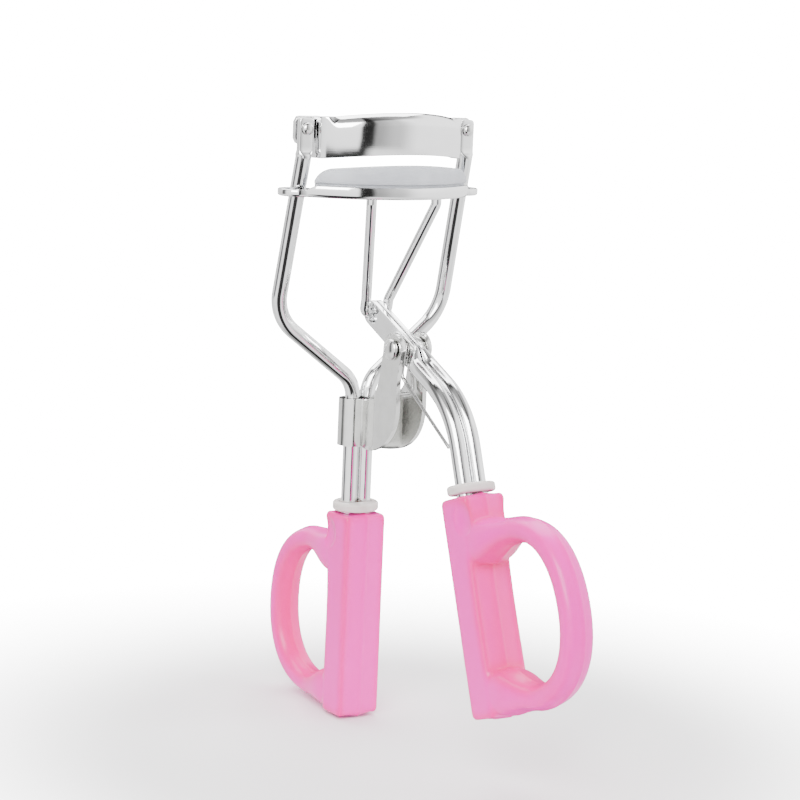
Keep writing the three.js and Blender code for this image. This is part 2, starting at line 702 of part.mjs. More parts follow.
addPiece(curler, 'frame_rod_left', frameRod(-1), chrome);
addPiece(curler, 'frame_rod_right', frameRod(1), chrome);
addPiece(curler, 'upper_jaw_plate', upperPlate(), chrome);
addPiece(curler, 'upper_jaw_rivet_left', jawRivet(-1), steel);
addPiece(curler, 'upper_jaw_rivet_right', jawRivet(1), steel);
addPiece(curler, 'pivot_bracket', bracket(), steel);
addPiece(curler, 'pivot_rivet', pivotRivet(), steel);
addPiece(curler, 'return_spring', returnSpring(), steel);

const frameGrip = new THREE.Group();
frameGrip.position.set(0, FRAME_Y, FRAME_HANDLE_TOP);
addPiece(frameGrip, 'frame_handle', handle(1, FRAME_HANDLE_TOP - FRAME_ROD_BOTTOM), pink);
addPiece(frameGrip, 'frame_collar', collar(), grommet).position.z = GAP;
curler.add(frameGrip);

const lowerJaw = new THREE.Group();
addPiece(lowerJaw, 'lower_jaw_tray', tray(), chrome);
addPiece(lowerJaw, 'lower_jaw_pad', pad(), silicone);
addPiece(lowerJaw, 'push_wire', pushWire(), chrome);
curler.add(lowerJaw);

const lever = new THREE.Group();
addPiece(lever, 'lever_rod_left', leverRod(-1), chrome);
addPiece(lever, 'lever_rod_right', leverRod(1), chrome);
const leverGrip = new THREE.Group();
leverGrip.position.set(0, LEVER_COLLAR.y, LEVER_COLLAR.z);
leverGrip.rotation.x = -LEVER_TILT;
addPiece(leverGrip, 'lever_collar', collar(), grommet).position.z = -COLLAR_HEIGHT / 2;
addPiece(leverGrip, 'lever_handle', handle(-1, LEVER_ROD_IN - COLLAR_HEIGHT / 2 - GAP), pink)
  .position.z = -COLLAR_HEIGHT / 2 - GAP;
lever.add(leverGrip);
curler.add(lever);

export default curler;
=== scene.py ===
"""Finished look of the eyelash curler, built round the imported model.

Shapes are made in millimetres measured from the pivot rivet and moved into the
frame, in metres, when each piece is finished. X runs along the rivet, -Y is the
lever's side and +Z is up.
"""
import math

import bmesh
import bpy
import numpy as np
from mathutils import Matrix, Vector


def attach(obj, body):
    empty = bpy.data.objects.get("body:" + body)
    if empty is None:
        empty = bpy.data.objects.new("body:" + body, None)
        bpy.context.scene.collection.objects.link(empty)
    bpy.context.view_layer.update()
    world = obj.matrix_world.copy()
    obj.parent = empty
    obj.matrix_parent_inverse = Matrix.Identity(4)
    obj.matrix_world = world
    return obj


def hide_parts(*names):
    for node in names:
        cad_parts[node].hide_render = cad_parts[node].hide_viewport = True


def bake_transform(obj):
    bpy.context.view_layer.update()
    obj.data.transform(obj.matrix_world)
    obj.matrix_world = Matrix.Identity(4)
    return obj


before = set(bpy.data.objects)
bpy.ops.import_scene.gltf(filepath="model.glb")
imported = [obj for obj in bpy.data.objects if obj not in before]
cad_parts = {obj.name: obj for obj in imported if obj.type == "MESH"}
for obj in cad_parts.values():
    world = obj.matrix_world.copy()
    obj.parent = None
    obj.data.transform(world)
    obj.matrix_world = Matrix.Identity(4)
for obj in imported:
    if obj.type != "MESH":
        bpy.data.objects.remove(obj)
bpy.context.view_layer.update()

# ---- driving sizes, in millimetres from the pivot rivet ---------------------------------
PIVOT = (0.0, 7.28, 75.0)
MM = 0.001
GAP = 0.3

ROD_R = 1.5
ROD_X = 1.66
FRAME_Y = 15.8
FRAME_ROD_BOTTOM = -46.0
BEND_LOW = (15.8, -8.6, 6.0)
BEND_HIGH = (18.9, 17.1, 4.6, 9.0)
LEG_TOP = (18.3, 10.2, 35.3)
TAB = dict(x=18.15, y=10.0, top=42.5, half_width=1.6, half_thick=0.62, power=6.0)
# rise above the round leg, half width, half thickness and squareness of the outline
TAB_FLARE = [
    (0.15, 1.53, 1.47, 2.1), (0.35, 1.6, 1.35, 2.4), (0.55, 1.61, 1.18, 2.9),
    (0.8, 1.6, 0.95, 3.5), (1.05, 1.6, 0.76, 4.4), (1.3, 1.6, 0.62, 6.0),
]
TAB_FLARE_END, TAB_NOT_FLAT = 1.3, 2.1
# the same, with the first value measured down from the end of the tab
TAB_TIP = [
    (0.55, 1.56, 0.62, 6.0), (0.32, 1.45, 0.61, 6.0), (0.14, 1.28, 0.58, 6.0),
    (0.04, 1.12, 0.54, 5.5), (0.0, 0.95, 0.48, 5.0),
]
TAB_RIVET_Z = 40.5
JAW_RIVET_R = 0.72

JAW_R = 22.0
JAW_CENTRE_Y = 23.9
SHEET = 0.9
PLATE_LOW, PLATE_HIGH = 35.0, 42.6
PLATE_ARCH_LOW, PLATE_ARCH_HIGH = 1.2, 1.4
PLATE_ROLL, PLATE_ROLL_TURN = 1.5, math.radians(80)
# half width at which the roll has faded out, the length of the fade, and the share that stays
ROLL_END, ROLL_FADE, ROLL_LEFT = 15.3, 2.4, 0.06
LUG_START, LUG_BLEND, LUG_LIFT, LUG_CORNER = 15.75, 0.55, 2.6, 0.9
LUG_END = TAB["x"] + TAB["half_width"] + 0.1
LUG_Y = TAB["y"] + TAB["half_thick"] + GAP + SHEET / 2
JAW_OPEN = 1.9

TRAY_Z = 27.9
TRAY_HALF, TRAY_WALL, TRAY_FLOOR = 2.1, 0.6, 0.7
TRAY_HEIGHT, TRAY_END_HEIGHT = 2.3, 1.4
# in degrees round the jaw's centre: where the tray ends and how soon before that its walls drop
TRAY_REACH, TRAY_DROP_END, TRAY_DROP = 50, 51, 6
EYELET = dict(x=18.48, y=11.8, outer=3.6, wall=0.55, hole=2.0)
PAD_FOOT, PAD_HALF = 1.2, 1.7
PAD_BOTTOM, PAD_SHOULDER = 28.9, 30.55
PAD_REACH, PAD_ROUND_OFF = math.radians(47), math.radians(7.5)
PAD_END_RISE = 0.35

WIRE_R = 1.0
WIRE_TOP = (7.3, 3.3, 28.45)
WIRE_PIN = (2.55, 11.5, 5.4)

BLADE = dict(x=0.7, half_thick=0.55, half_width=2.4, tip=15.1)
BLADE_ANGLE = math.radians(25.2)
BLADE_POWER = 8
# angle round the tip, and how much thinner the blade is there
BLADE_TIP = [(6, 0.16), (12, 0.05)] + [(angle, 0.0) for angle in (20, 30, 40, 50, 60, 70, 80, 86)]
# distance behind the rivet, half width, half thickness, offset in X and squareness
BLADE_TO_WIRE = [
    (3.0, 2.4, 0.55, 0.7, 8), (3.9, 2.25, 0.75, 0.92, 4.2), (4.8, 1.9, 1.15, 1.32, 2.8),
    (5.7, 1.6, 1.42, 1.58, 2.2), (6.6, 1.5, 1.5, 1.66, 2.0),
]
SLOT_LENGTH, SLOT_PLAY = 1.2, 0.4
LEVER_BEND = (-17.58, -8.27, 18.0)
LEVER_TILT = math.radians(19.3)
LEVER_COLLAR = (-22.4, -22.3)
LEVER_ROD_IN = 14.0

SLEEVE = dict(r=2.25, low=-20.9, high=-11.7)
EAR_X, EAR_R = 3.0, 3.1
RIVET_R, RIVET_HEAD_R = 1.2, 2.05

SPRING_R, SPRING_X, SPRING_LOOP_R = 0.35, 1.9, 2.0

HANDLE = dict(length=41.0, half_width=4.6, back=4.6, front=4.3, waist=2.9, edge=1.35)
HANDLE_VOXEL = 0.26
LOOP = dict(half_width=3.0, half_thick=2.5, start=5.0, centre=(12.5, -22.7))
SCOOP = dict(centre=(2.6, -4.6), reach=(3.1, 3.4), depth=1.3, lift=0.45)
MOULD_DRAW = 0.5
SEAM_HEIGHT, SEAM_WIDTH = 0.16, 0.22
FRAME_HANDLE_TOP = -34.0
COLLAR_HEIGHT = 2.0
WASHER = dict(half_x=4.6, half_y=4.15, edge=0.55, low=-0.25, top=1.55)
SHEET_EDGE = 0.2

SOFT_ANGLE, SHARP_ANGLE = 40, 40
# sockets of a colour Mix node
MIX_FACTOR, MIX_A, MIX_B, MIX_RESULT = 0, 6, 7, 2


# ---- small tools ------------------------------------------------------------------------
def arr(*values):
    return np.array(values, float)


def unit(v):
    return v / np.linalg.norm(v)


def smoothstep(x):
    x = np.clip(x, 0, 1)
    return x * x * (3 - 2 * x)


def mesh_object(name, verts, faces, uv_rows=None):
    """A mesh object in millimetres, with its faces turned outward."""
    mesh = bpy.data.meshes.new(name)
    mesh.from_pydata([tuple(map(float, v)) for v in verts], [], faces)
    if uv_rows is not None:
        layer = mesh.uv_layers.new(name="along")
        flat = [c for row in uv_rows for pair in row for c in pair]
        layer.data.foreach_set("uv", flat)
    bm = bmesh.new()
    bm.from_mesh(mesh)
    bmesh.ops.recalc_face_normals(bm, faces=bm.faces)
    bm.to_mesh(mesh)
    bm.free()
    obj = bpy.data.objects.new(name, mesh)
    bpy.context.scene.collection.objects.link(obj)
    return obj


def skin(name, stations):
    """Skins a row of closed outlines. A station is (origin, u, v, outline)."""
    rings = [o + np.outer(line[:, 0], u) + np.outer(line[:, 1], v) for o, u, v, line in stations]
    count = len(rings[0])
    reach = [0.0]
    for (a, *_), (b, *_) in zip(stations, stations[1:]):
        reach.append(reach[-1] + float(np.linalg.norm(b - a)))
    faces, uv_rows = [], []
    for i in range(len(rings) - 1):
        for k in range(count):
            a, b = i * count + k, i * count + (k + 1) % count
            faces.append((a, b, b + count, a + count))
            left, right = k / count, (k + 1) / count
            low, high = reach[i], reach[i + 1]
            uv_rows.append([(left, low), (right, low), (right, high), (left, high)])
    last = (len(rings) - 1) * count
    faces.append(tuple(range(count))[::-1])
    faces.append(tuple(last + k for k in range(count)))
    uv_rows += [[(k / count, reach[0]) for k in range(count)][::-1]]
    uv_rows += [[(k / count, reach[-1]) for k in range(count)]]
    return mesh_object(name, np.concatenate(rings), faces, uv_rows)


def bent_path(corners, radii, steps=22, run=1.5):
    """Path through the corners with round bends, its straights cut about every run millimetres."""
    corners = [arr(*c) for c in corners]
    path = [corners[0]]
    for i in range(1, len(corners) - 1):
        back = unit(corners[i - 1] - corners[i])
        ahead = unit(corners[i + 1] - corners[i])
        half = math.acos(np.clip(back @ ahead, -1, 1)) / 2
        reach = radii[i] / math.tan(half)
        centre = corners[i] + unit(back + ahead) * radii[i] / math.sin(half)
        start = corners[i] + back * reach - centre
        end = corners[i] + ahead * reach - centre
        sweep = math.pi - 2 * half
        for k in range(steps + 1):
            a = k / steps * sweep
            path.append(centre + (start * math.sin(sweep - a) + end * math.sin(a)) / math.sin(sweep))
    path.append(corners[-1])
    dense = [path[0]]
    for p in path[1:]:
        pieces = max(1, int(np.linalg.norm(p - dense[-1]) / run))
        a = dense[-1]
        dense += [a + (p - a) * (k + 1) / pieces for k in range(pieces)]
    return [p for i, p in enumerate(dense) if i == 0 or np.linalg.norm(p - dense[i - 1]) > 1e-4]


def round_outline(a, b, power=2.0, count=40):
    t = (np.arange(count) + 0.5) / count * 2 * math.pi
    c, s = np.cos(t), np.sin(t)
    x = a * np.sign(c) * np.abs(c) ** (2 / power)
    y = b * np.sign(s) * np.abs(s) ** (2 / power)
    return np.stack([x, y], 1)


def along_path(path, guide, outline_at):
    rows = []
    for i, origin in enumerate(path):
        t = unit(path[min(i + 1, len(path) - 1)] - path[max(i - 1, 0)])
        u = unit(guide - t * (guide @ t))
        rows.append((origin, u, np.cross(t, u), outline_at(i)))
    return rows


def domed_tube(name, path, radius, guide, count=40):
    """Round wire whose two ends are softly domed."""
    rows = along_path(path, guide, lambda i: round_outline(radius, radius, 2, count))
    for end, order in ((0, -1), (-1, 1)):
        origin, u, v, _ = rows[end]
        t = unit(path[0] - path[1]) if end == 0 else unit(path[-1] - path[-2])
        for a in (0.45, 0.85, 1.2):
            small = radius * (1 - 0.22 * (1 - math.cos(a)) / (1 - math.cos(1.2)))
            cap = (origin + t * radius * 0.18 * math.sin(a), u, v, round_outline(small, small, 2, count))
            rows = [cap] + rows if order < 0 else rows + [cap]
    return skin(name, rows)


def lathe(name, profile, segments=72, axis="Z"):
    """Turns a closed profile of (radius, height) round Z, or round X."""
    verts, rings = [], []
    for r, h in profile:
        if r < 1e-6:
            rings.append([len(verts)] * segments)
            verts.append((0, 0, h))
            continue
        rings.append(list(range(len(verts), len(verts) + segments)))
        for k in range(segments):
            a = 2 * math.pi * k / segments
            verts.append((r * math.cos(a), r * math.sin(a), h))
    faces = []
    closed = rings[0][0] != rings[0][1]
    pairs = list(zip(rings, rings[1:])) + ([(rings[-1], rings[0])] if closed else [])
    for low, high in pairs:
        for k in range(segments):
            n = (k + 1) % segments
            quad = [low[k], low[n], high[n], high[k]]
            face = [v for i, v in enumerate(quad) if v != quad[i - 1]]
            if len(face) > 2:
                faces.append(tuple(face))
    if axis == "X":
        verts = [(z, x, y) for x, y, z in verts]
    return mesh_object(name, verts, faces)


def plug(radius, low, high, segments, axis="Z"):
    """Solid round plug that cuts a hole."""
    return lathe("plug", [(0, low), (radius, low), (radius, high), (0, high)], segments, axis)


def slab(name, outline, low, high, axis="Z"):
    """Extrudes an outline along Z, or a (y, z) outline along X."""
    n = len(outline)
    if axis == "Z":
        verts = [(x, y, low) for x, y in outline] + [(x, y, high) for x, y in outline]
    else:
        verts = [(low, y, z) for y, z in outline] + [(high, y, z) for y, z in outline]
    faces = [tuple(range(n))[::-1], tuple(range(n, 2 * n))]
    faces += [(k, (k + 1) % n, n + (k + 1) % n, n + k) for k in range(n)]
    return mesh_object(name, verts, faces)


def shifted(obj, offset):
    obj.data.transform(Matrix.Translation(Vector(offset)))
    return obj


def vertex_rows(mesh, name):
    """Positions (co) or normals (normal) of all vertices, one row each."""
    values = np.empty(len(mesh.vertices) * 3)
    mesh.vertices.foreach_get(name, values)
    return values.reshape(-1, 3)


def apply_modifiers(obj):
    bpy.context.view_layer.update()
    evaluated = obj.evaluated_get(bpy.context.evaluated_depsgraph_get())
    mesh = bpy.data.meshes.new_from_object(evaluated)
    obj.modifiers.clear()
    old = obj.data
    obj.data = mesh
    bpy.data.meshes.remove(old)
    return obj


def combine(obj, tool, operation="DIFFERENCE"):
    change = obj.modifiers.new("combine", "BOOLEAN")
    change.operation = operation
    change.solver = "EXACT"
    change.object = tool
    apply_modifiers(obj)
    bpy.data.objects.remove(tool)
    return obj


def soften(obj, width, segments):
    """Rounds the sharp edges of a piece."""
    edge = obj.modifiers.new("soften", "BEVEL")
    edge.width = width
    edge.segments = segments
    edge.limit_method = "ANGLE"
    edge.angle_limit = math.radians(SOFT_ANGLE)
    edge.use_clamp_overlap = True
    edge.miter_outer = "MITER_ARC"
    return apply_modifiers(obj)


def finish_piece(obj, body, nodes, material, sharp=SHARP_ANGLE, level=False):
    """Moves a piece from millimetres at the rivet into the frame and ties it to its body.

    Edges sharper than the sharp angle stay crisp, and level evens the shading of broad flat faces.
    A piece that bends between two bodies has no body here.
    """
    shifted(obj, PIVOT)
    obj.data.transform(Matrix.Scale(MM, 4))
    obj.data.materials.clear()
    obj.data.materials.append(material)
    obj.data.shade_smooth()
    obj.data.set_sharp_from_angle(angle=math.radians(sharp))
    if level:
        normals = obj.modifiers.new("level", "WEIGHTED_NORMAL")
        normals.keep_sharp = True
        normals.weight = 90
        apply_modifiers(obj)
    if body:
        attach(obj, body)
    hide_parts(*nodes)
    return obj


# ---- materials --------------------------------------------------------------------------
class Shader:
    """Small helper round one material's node tree."""

    def __init__(self, name, **sockets):
        self.material = bpy.data.materials.new(name)
        self.material.use_nodes = True
        self.tree = self.material.node_tree
        self.surface = self.tree.nodes["Principled BSDF"]
        for key, value in sockets.items():
            self.surface.inputs[key.replace("_", " ")].default_value = value

    def node(self, kind, **values):
        made = self.tree.nodes.new(kind)
        for key, value in values.items():
            setattr(made, key, value)
        return made

    def link(self, source, target):
        self.tree.links.new(source, target)

    def place(self, scale, uv=False):
        """Texture place on the piece, in metres or along the wire, scaled alike or per axis."""
        if uv:
            source = self.node("ShaderNodeUVMap", uv_map="along").outputs[0]
        else:
            source = self.node("ShaderNodeTexCoord").outputs["Object"]
        mapping = self.node("ShaderNodeMapping")
        mapping.inputs["Scale"].default_value = scale if isinstance(scale, tuple) else (scale,) * 3
        self.link(source, mapping.inputs["Vector"])
        return mapping.outputs[0]

    def noise(self, place, detail=3.0, rough=0.55):
        made = self.node("ShaderNodeTexNoise")
        made.inputs["Scale"].default_value = 1.0
        made.inputs["Detail"].default_value = detail
        made.inputs["Roughness"].default_value = rough
        self.link(place, made.inputs["Vector"])
        return made.outputs["Fac"]

    def ramp(self, value, stops):
        made = self.node("ShaderNodeValToRGB")
        points = made.color_ramp.elements
        while len(points) < len(stops):
            points.new(0.5)
        for point, (at, colour) in zip(points, stops):
            point.position = at
            point.color = (*colour, 1)
        self.link(value, made.inputs[0])
        return made.outputs[0]

    def range(self, value, low, high):
        made = self.node("ShaderNodeMapRange")
        made.inputs["To Min"].default_value = low
        made.inputs["To Max"].default_value = high
        self.link(value, made.inputs["Value"])
        return made.outputs[0]

    def math(self, kind, *values):
        made = self.node("ShaderNodeMath", operation=kind)
        for socket, value in zip(made.inputs, values):
            if isinstance(value, (int, float)):
                socket.default_value = value
            else:
                self.link(value, socket)
        return made.outputs[0]

    def multiply(self, a, b):
        made = self.node("ShaderNodeMix", data_type="RGBA", blend_type="MULTIPLY")
        made.inputs[MIX_FACTOR].default_value = 1.0
        self.link(a, made.inputs[MIX_A])
        self.link(b, made.inputs[MIX_B])
        return made.outputs[MIX_RESULT]

    def bump(self, height, strength, distance, onto=None):
        made = self.node("ShaderNodeBump")
        made.inputs["Strength"].default_value = strength
        made.inputs["Distance"].default_value = distance
        self.link(height, made.inputs["Height"])
        if onto is not None:
            self.link(onto, made.inputs["Normal"])
        return made.outputs[0]

    def to(self, value, socket):
        self.link(value, self.surface.inputs[socket])


def chrome_wire():
    s = Shader("bright_wire", Metallic=1.0, IOR=2.5)
    lengthwise = s.noise(s.place((46.0, 0.35, 1.0), uv=True), 4.0, 0.6)
    blotch = s.noise(s.place(260.0), 3.0)
    s.to(s.ramp(blotch, [(0.3, (0.80, 0.80, 0.80)), (0.7, (0.90, 0.905, 0.91))]), "Base Color")
    s.to(s.math("ADD", s.range(lengthwise, 0.035, 0.10), s.range(blotch, 0.0, 0.05)), "Roughness")
    fine = s.bump(lengthwise, 0.10, 0.00004)
    s.to(s.bump(blotch, 0.05, 0.0002, fine), "Normal")
    return s.material


def chrome_plate(name, streak, base):
    s = Shader(name, Metallic=1.0, IOR=2.5)
    across = s.noise(s.place(streak), 4.0, 0.6)
    blotch = s.noise(s.place(140.0), 2.5)
    s.to(s.ramp(blotch, [(0.3, tuple(0.93 * c for c in base)), (0.7, base)]), "Base Color")
    s.to(s.math("ADD", s.range(across, 0.03, 0.09), s.range(blotch, 0.0, 0.05)), "Roughness")
    fine = s.bump(across, 0.08, 0.00003)
    s.to(s.bump(blotch, 0.10, 0.0003, fine), "Normal")
    return s.material


def satin_steel(name, base, low, high, grain):
    s = Shader(name, Metallic=1.0, IOR=2.4)
    lines = s.noise(s.place(grain), 5.0, 0.65)
    patch = s.noise(s.place(300.0), 4.0)
    s.to(s.ramp(patch, [(0.3, tuple(0.86 * c for c in base)), (0.72, base)]), "Base Color")
    s.to(s.math("ADD", s.range(lines, low, high), s.range(patch, 0.0, 0.08)), "Roughness")
    fine = s.bump(lines, 0.22, 0.00004)
    s.to(s.bump(patch, 0.10, 0.0001, fine), "Normal")
    return s.material


def pad_silicone():
    s = Shader(
        "pad_silicone", Subsurface_Weight=0.55, Subsurface_Scale=0.0015,
        Subsurface_Radius=(1.0, 0.95, 0.9), IOR=1.41, Coat_Weight=0.0,
    )
    cloud = s.noise(s.place(180.0), 3.0)
    dust = s.noise(s.place(2600.0), 3.0)
    s.to(s.ramp(cloud, [(0.3, (0.46, 0.475, 0.51)), (0.7, (0.56, 0.575, 0.61))]), "Base Color")
    s.to(s.range(dust, 0.42, 0.60), "Roughness")
    s.to(s.bump(dust, 0.12, 0.00006), "Normal")
    return s.material


def collar_plastic():
    s = Shader(
        "collar_plastic", Subsurface_Weight=0.6, Subsurface_Scale=0.002,
        Subsurface_Radius=(1.0, 0.9, 0.85), IOR=1.46, Coat_Weight=0.25, Coat_Roughness=0.18,
    )
    cloud = s.noise(s.place(320.0), 3.0)
    fine = s.noise(s.place(2200.0), 3.0)
    s.to(s.ramp(cloud, [(0.3, (0.56, 0.51, 0.49)), (0.7, (0.68, 0.64, 0.62))]), "Base Color")
    s.to(s.range(fine, 0.30, 0.45), "Roughness")
    s.to(s.bump(fine, 0.10, 0.00005), "Normal")
    return s.material


def handle_plastic():
    """Pearly pink moulded plastic. Its vertex attribute of painted shade is 0 on open faces and 1 in edges
    and hollows, which are painted a deeper pink as shade.
    """
    s = Shader(
        "handle_plastic", Subsurface_Weight=0.2, Subsurface_Scale=0.002,
        Subsurface_Radius=(1.0, 0.35, 0.6), IOR=1.38, Coat_Weight=0.1, Coat_Roughness=0.08,
    )
    # painted shade: this attribute deepens the pink in edges, creases and hollows
    painted_shade = s.node("ShaderNodeAttribute", attribute_name="painted_shade").outputs["Fac"]
    flow = s.noise(s.place((110.0, 110.0, 26.0)), 3.0, 0.5)
    mica = s.noise(s.place(5200.0), 2.0)
    drift = s.math("MULTIPLY_ADD", flow, 0.5, -0.25)
    value = s.math("ADD", painted_shade, drift)
    # open faces take the light pink, and painted shade turns it deep pink where the attribute is high
    colour = s.ramp(value, [
        (0.0, (0.93, 0.018, 0.46)), (0.35, (0.90, 0.004, 0.33)), (1.0, (0.84, 0.0, 0.19)),
    ])
    flecks = s.ramp(mica, [(0.45, (0.94, 0.94, 0.94)), (0.75, (1.0, 1.0, 1.0))])
    s.to(s.multiply(colour, flecks), "Base Color")
    s.to(s.range(flow, 0.24, 0.36), "Roughness")
    ripple = s.bump(flow, 0.06, 0.0006)
    s.to(s.bump(mica, 0.05, 0.00003, ripple), "Normal")
    return s.material


WIRE = chrome_wire()
JAW_METAL = chrome_plate("bright_plate", (60.0, 60.0, 3800.0), (0.90, 0.90, 0.905))
TRAY_METAL = chrome_plate("bright_tray", (90.0, 90.0, 3200.0), (0.88, 0.88, 0.885))
BRACKET_METAL = satin_steel("bracket_steel", (0.80, 0.80, 0.785), 0.07, 0.14, (4200.0, 500.0, 180.0))
RIVET_METAL = satin_steel("rivet_steel", (0.80, 0.80, 0.79), 0.08, 0.16, (900.0, 2600.0, 2600.0))
SPRING_METAL = satin_steel("spring_steel", (0.66, 0.66, 0.65), 0.16, 0.26, (1500.0, 700.0, 700.0))
SILICONE = pad_silicone()
COLLAR = collar_plastic()
PINK = handle_plastic()


# ---- frame wires ------------------------------------------------------------------------
def frame_rod(side, name):
    path = bent_path(
        [
            (side * ROD_X, FRAME_Y, FRAME_ROD_BOTTOM),
            (side * ROD_X, BEND_LOW[0], BEND_LOW[1]),
            (side * BEND_HIGH[0], BEND_HIGH[1], BEND_HIGH[2]),
            (side * LEG_TOP[0], LEG_TOP[1], LEG_TOP[2]),
        ],
        [0, BEND_LOW[2], BEND_HIGH[3], 0],
    )
    rows = along_path(path, arr(1, 0, 0), lambda i: round_outline(ROD_R, ROD_R, 2, 48))
    height = TAB["top"] - LEG_TOP[2]
    flat = (TAB["half_width"], TAB["half_thick"], TAB["power"])
    full = list(TAB_FLARE)
    full += [(TAB_FLARE_END + (height - TAB_NOT_FLAT) * k / 8, *flat) for k in range(1, 9)]
    full += [(height - down, *shape) for down, *shape in TAB_TIP]
    for rise, wide, thick, power in full:
        settle = min(1, rise / TAB_FLARE_END)
        origin = arr(
            side * (LEG_TOP[0] + (TAB["x"] - LEG_TOP[0]) * settle),
            LEG_TOP[1] + (TAB["y"] - LEG_TOP[1]) * settle,
            LEG_TOP[2] + rise,
        )
        rows.append((origin, arr(1, 0, 0), arr(0, 1, 0), round_outline(wide, thick, power, 48)))
    rod = skin(name, rows)
    hole = plug(JAW_RIVET_R + GAP, -3, 3, 48)
    hole.data.transform(Matrix.Rotation(math.pi / 2, 4, "X"))
    return combine(rod, shifted(hole, (side * TAB["x"], TAB["y"], TAB_RIVET_Z)))


# ---- upper jaw plate and its rivets -----------------------------------------------------
def jaw_point(radius, angle, z):
    return arr(radius * math.sin(angle), JAW_CENTRE_Y - radius * math.cos(angle), z)


def arch(x):
    return 1 - min(1, (x / 16) ** 2)


def plate_plan():
    turn = math.asin(14.9 / JAW_R)
    arc = [jaw_point(JAW_R, a, 0) for a in np.linspace(-turn, turn, 100)]
    end = bent_path(
        [
            tuple(jaw_point(JAW_R, turn, 0)), (15.45, 8.55, 0), (15.72, LUG_Y, 0),
            (LUG_END, LUG_Y, 0),
        ],
        [0, 1.2, 0.75, 0], steps=10, run=0.4,
    )[1:]
    left = [arr(-p[0], p[1], 0) for p in end][::-1]
    return left + arc + end


def upper_plate():
    plan = plate_plan()
    t = SHEET / 2
    rows = []
    for i, p in enumerate(plan):
        step = unit(plan[min(i + 1, len(plan) - 1)] - plan[max(i - 1, 0)])
        inward = arr(-step[1], step[0], 0)
        rise = arch(p[0])
        # the lugs start above the round shoulders of the frame wires
        beyond = LUG_END - abs(p[0])
        lift = LUG_LIFT * smoothstep((abs(p[0]) - LUG_START) / LUG_BLEND)
        low = PLATE_LOW + PLATE_ARCH_LOW * rise + lift
        high = PLATE_HIGH + PLATE_ARCH_HIGH * rise
        # rounded outer corners of the lugs
        inset = LUG_CORNER - min(LUG_CORNER, beyond)
        corner = LUG_CORNER - math.sqrt(max(0.0, LUG_CORNER ** 2 - inset ** 2))
        low, high = low + corner, high - corner
        # the rolled top edge fades out before the lugs
        shown = float(smoothstep((ROLL_END - abs(p[0])) / ROLL_FADE))
        full = PLATE_ROLL_TURN * (ROLL_LEFT + (1 - ROLL_LEFT) * shown)
        over = PLATE_ROLL + SHEET
        base = high - over * math.sin(full)
        inner, outer = [], []
        for angle in np.linspace(0, full, 13):
            c, s = math.cos(angle), math.sin(angle)
            inner.append((t + PLATE_ROLL * (1 - c), base + PLATE_ROLL * s))
            outer.append((t + PLATE_ROLL - over * c, base + over * s))
        # rounded lip between the two faces of the roll
        a, b = arr(*inner[-1]), arr(*outer[-1])
        tip = unit(inner[-1] - arr(*inner[-2]))
        lip = [
            (a + b) / 2 + (a - b) / 2 * math.cos(w) * 0.98 + tip * 0.28 * math.sin(w)
            for w in np.linspace(0.35, math.pi - 0.35, 6)
        ]
        # rounded lower edge
        foot = [
            (-t, low + 0.22), (-t + 0.04, low + 0.1), (-t + 0.13, low + 0.02), (-t + 0.25, low),
            (t - 0.25, low), (t - 0.13, low + 0.02), (t - 0.04, low + 0.1), (t, low + 0.22),
        ]
        outline = np.array([*foot, *inner, *[tuple(q) for q in lip], *outer[::-1]])
        rows.append((arr(p[0], p[1], 0), inward, arr(0, 0, 1), outline))
    plate = skin("upper_jaw_plate_fine", rows)
    for side in (-1, 1):
        hole = plug(JAW_RIVET_R + GAP, -2, 2, 48)
        hole.data.transform(Matrix.Rotation(math.pi / 2, 4, "X"))
        combine(plate, shifted(hole, (side * TAB["x"], LUG_Y, TAB_RIVET_Z)))
    return plate


def jaw_rivet(side, name):
    front = TAB["y"] - TAB["half_thick"] - 0.2
    back = LUG_Y + SHEET / 2 + 0.2
    length = back - front
    dome = [(1.18 * math.sin(a), -0.75 * math.cos(a)) for a in np.linspace(0, math.pi / 2, 12)]
    profile = dome + [(1.16, 0.05), (JAW_RIVET_R, 0.06), (JAW_RIVET_R, length - 0.02), (1.12, length)]
    tail = [(1.2 * math.cos(a), length + 0.08 + 0.52 * math.sin(a)) for a in np.linspace(0, math.pi / 2, 9)]
    rivet = lathe(name, profile + tail[:-1] + [(0, length + 0.6)], 64)
    rivet.data.transform(Matrix.Rotation(-math.pi / 2, 4, "X"))
    return shifted(rivet, (side * TAB["x"], front, TAB_RIVET_Z))


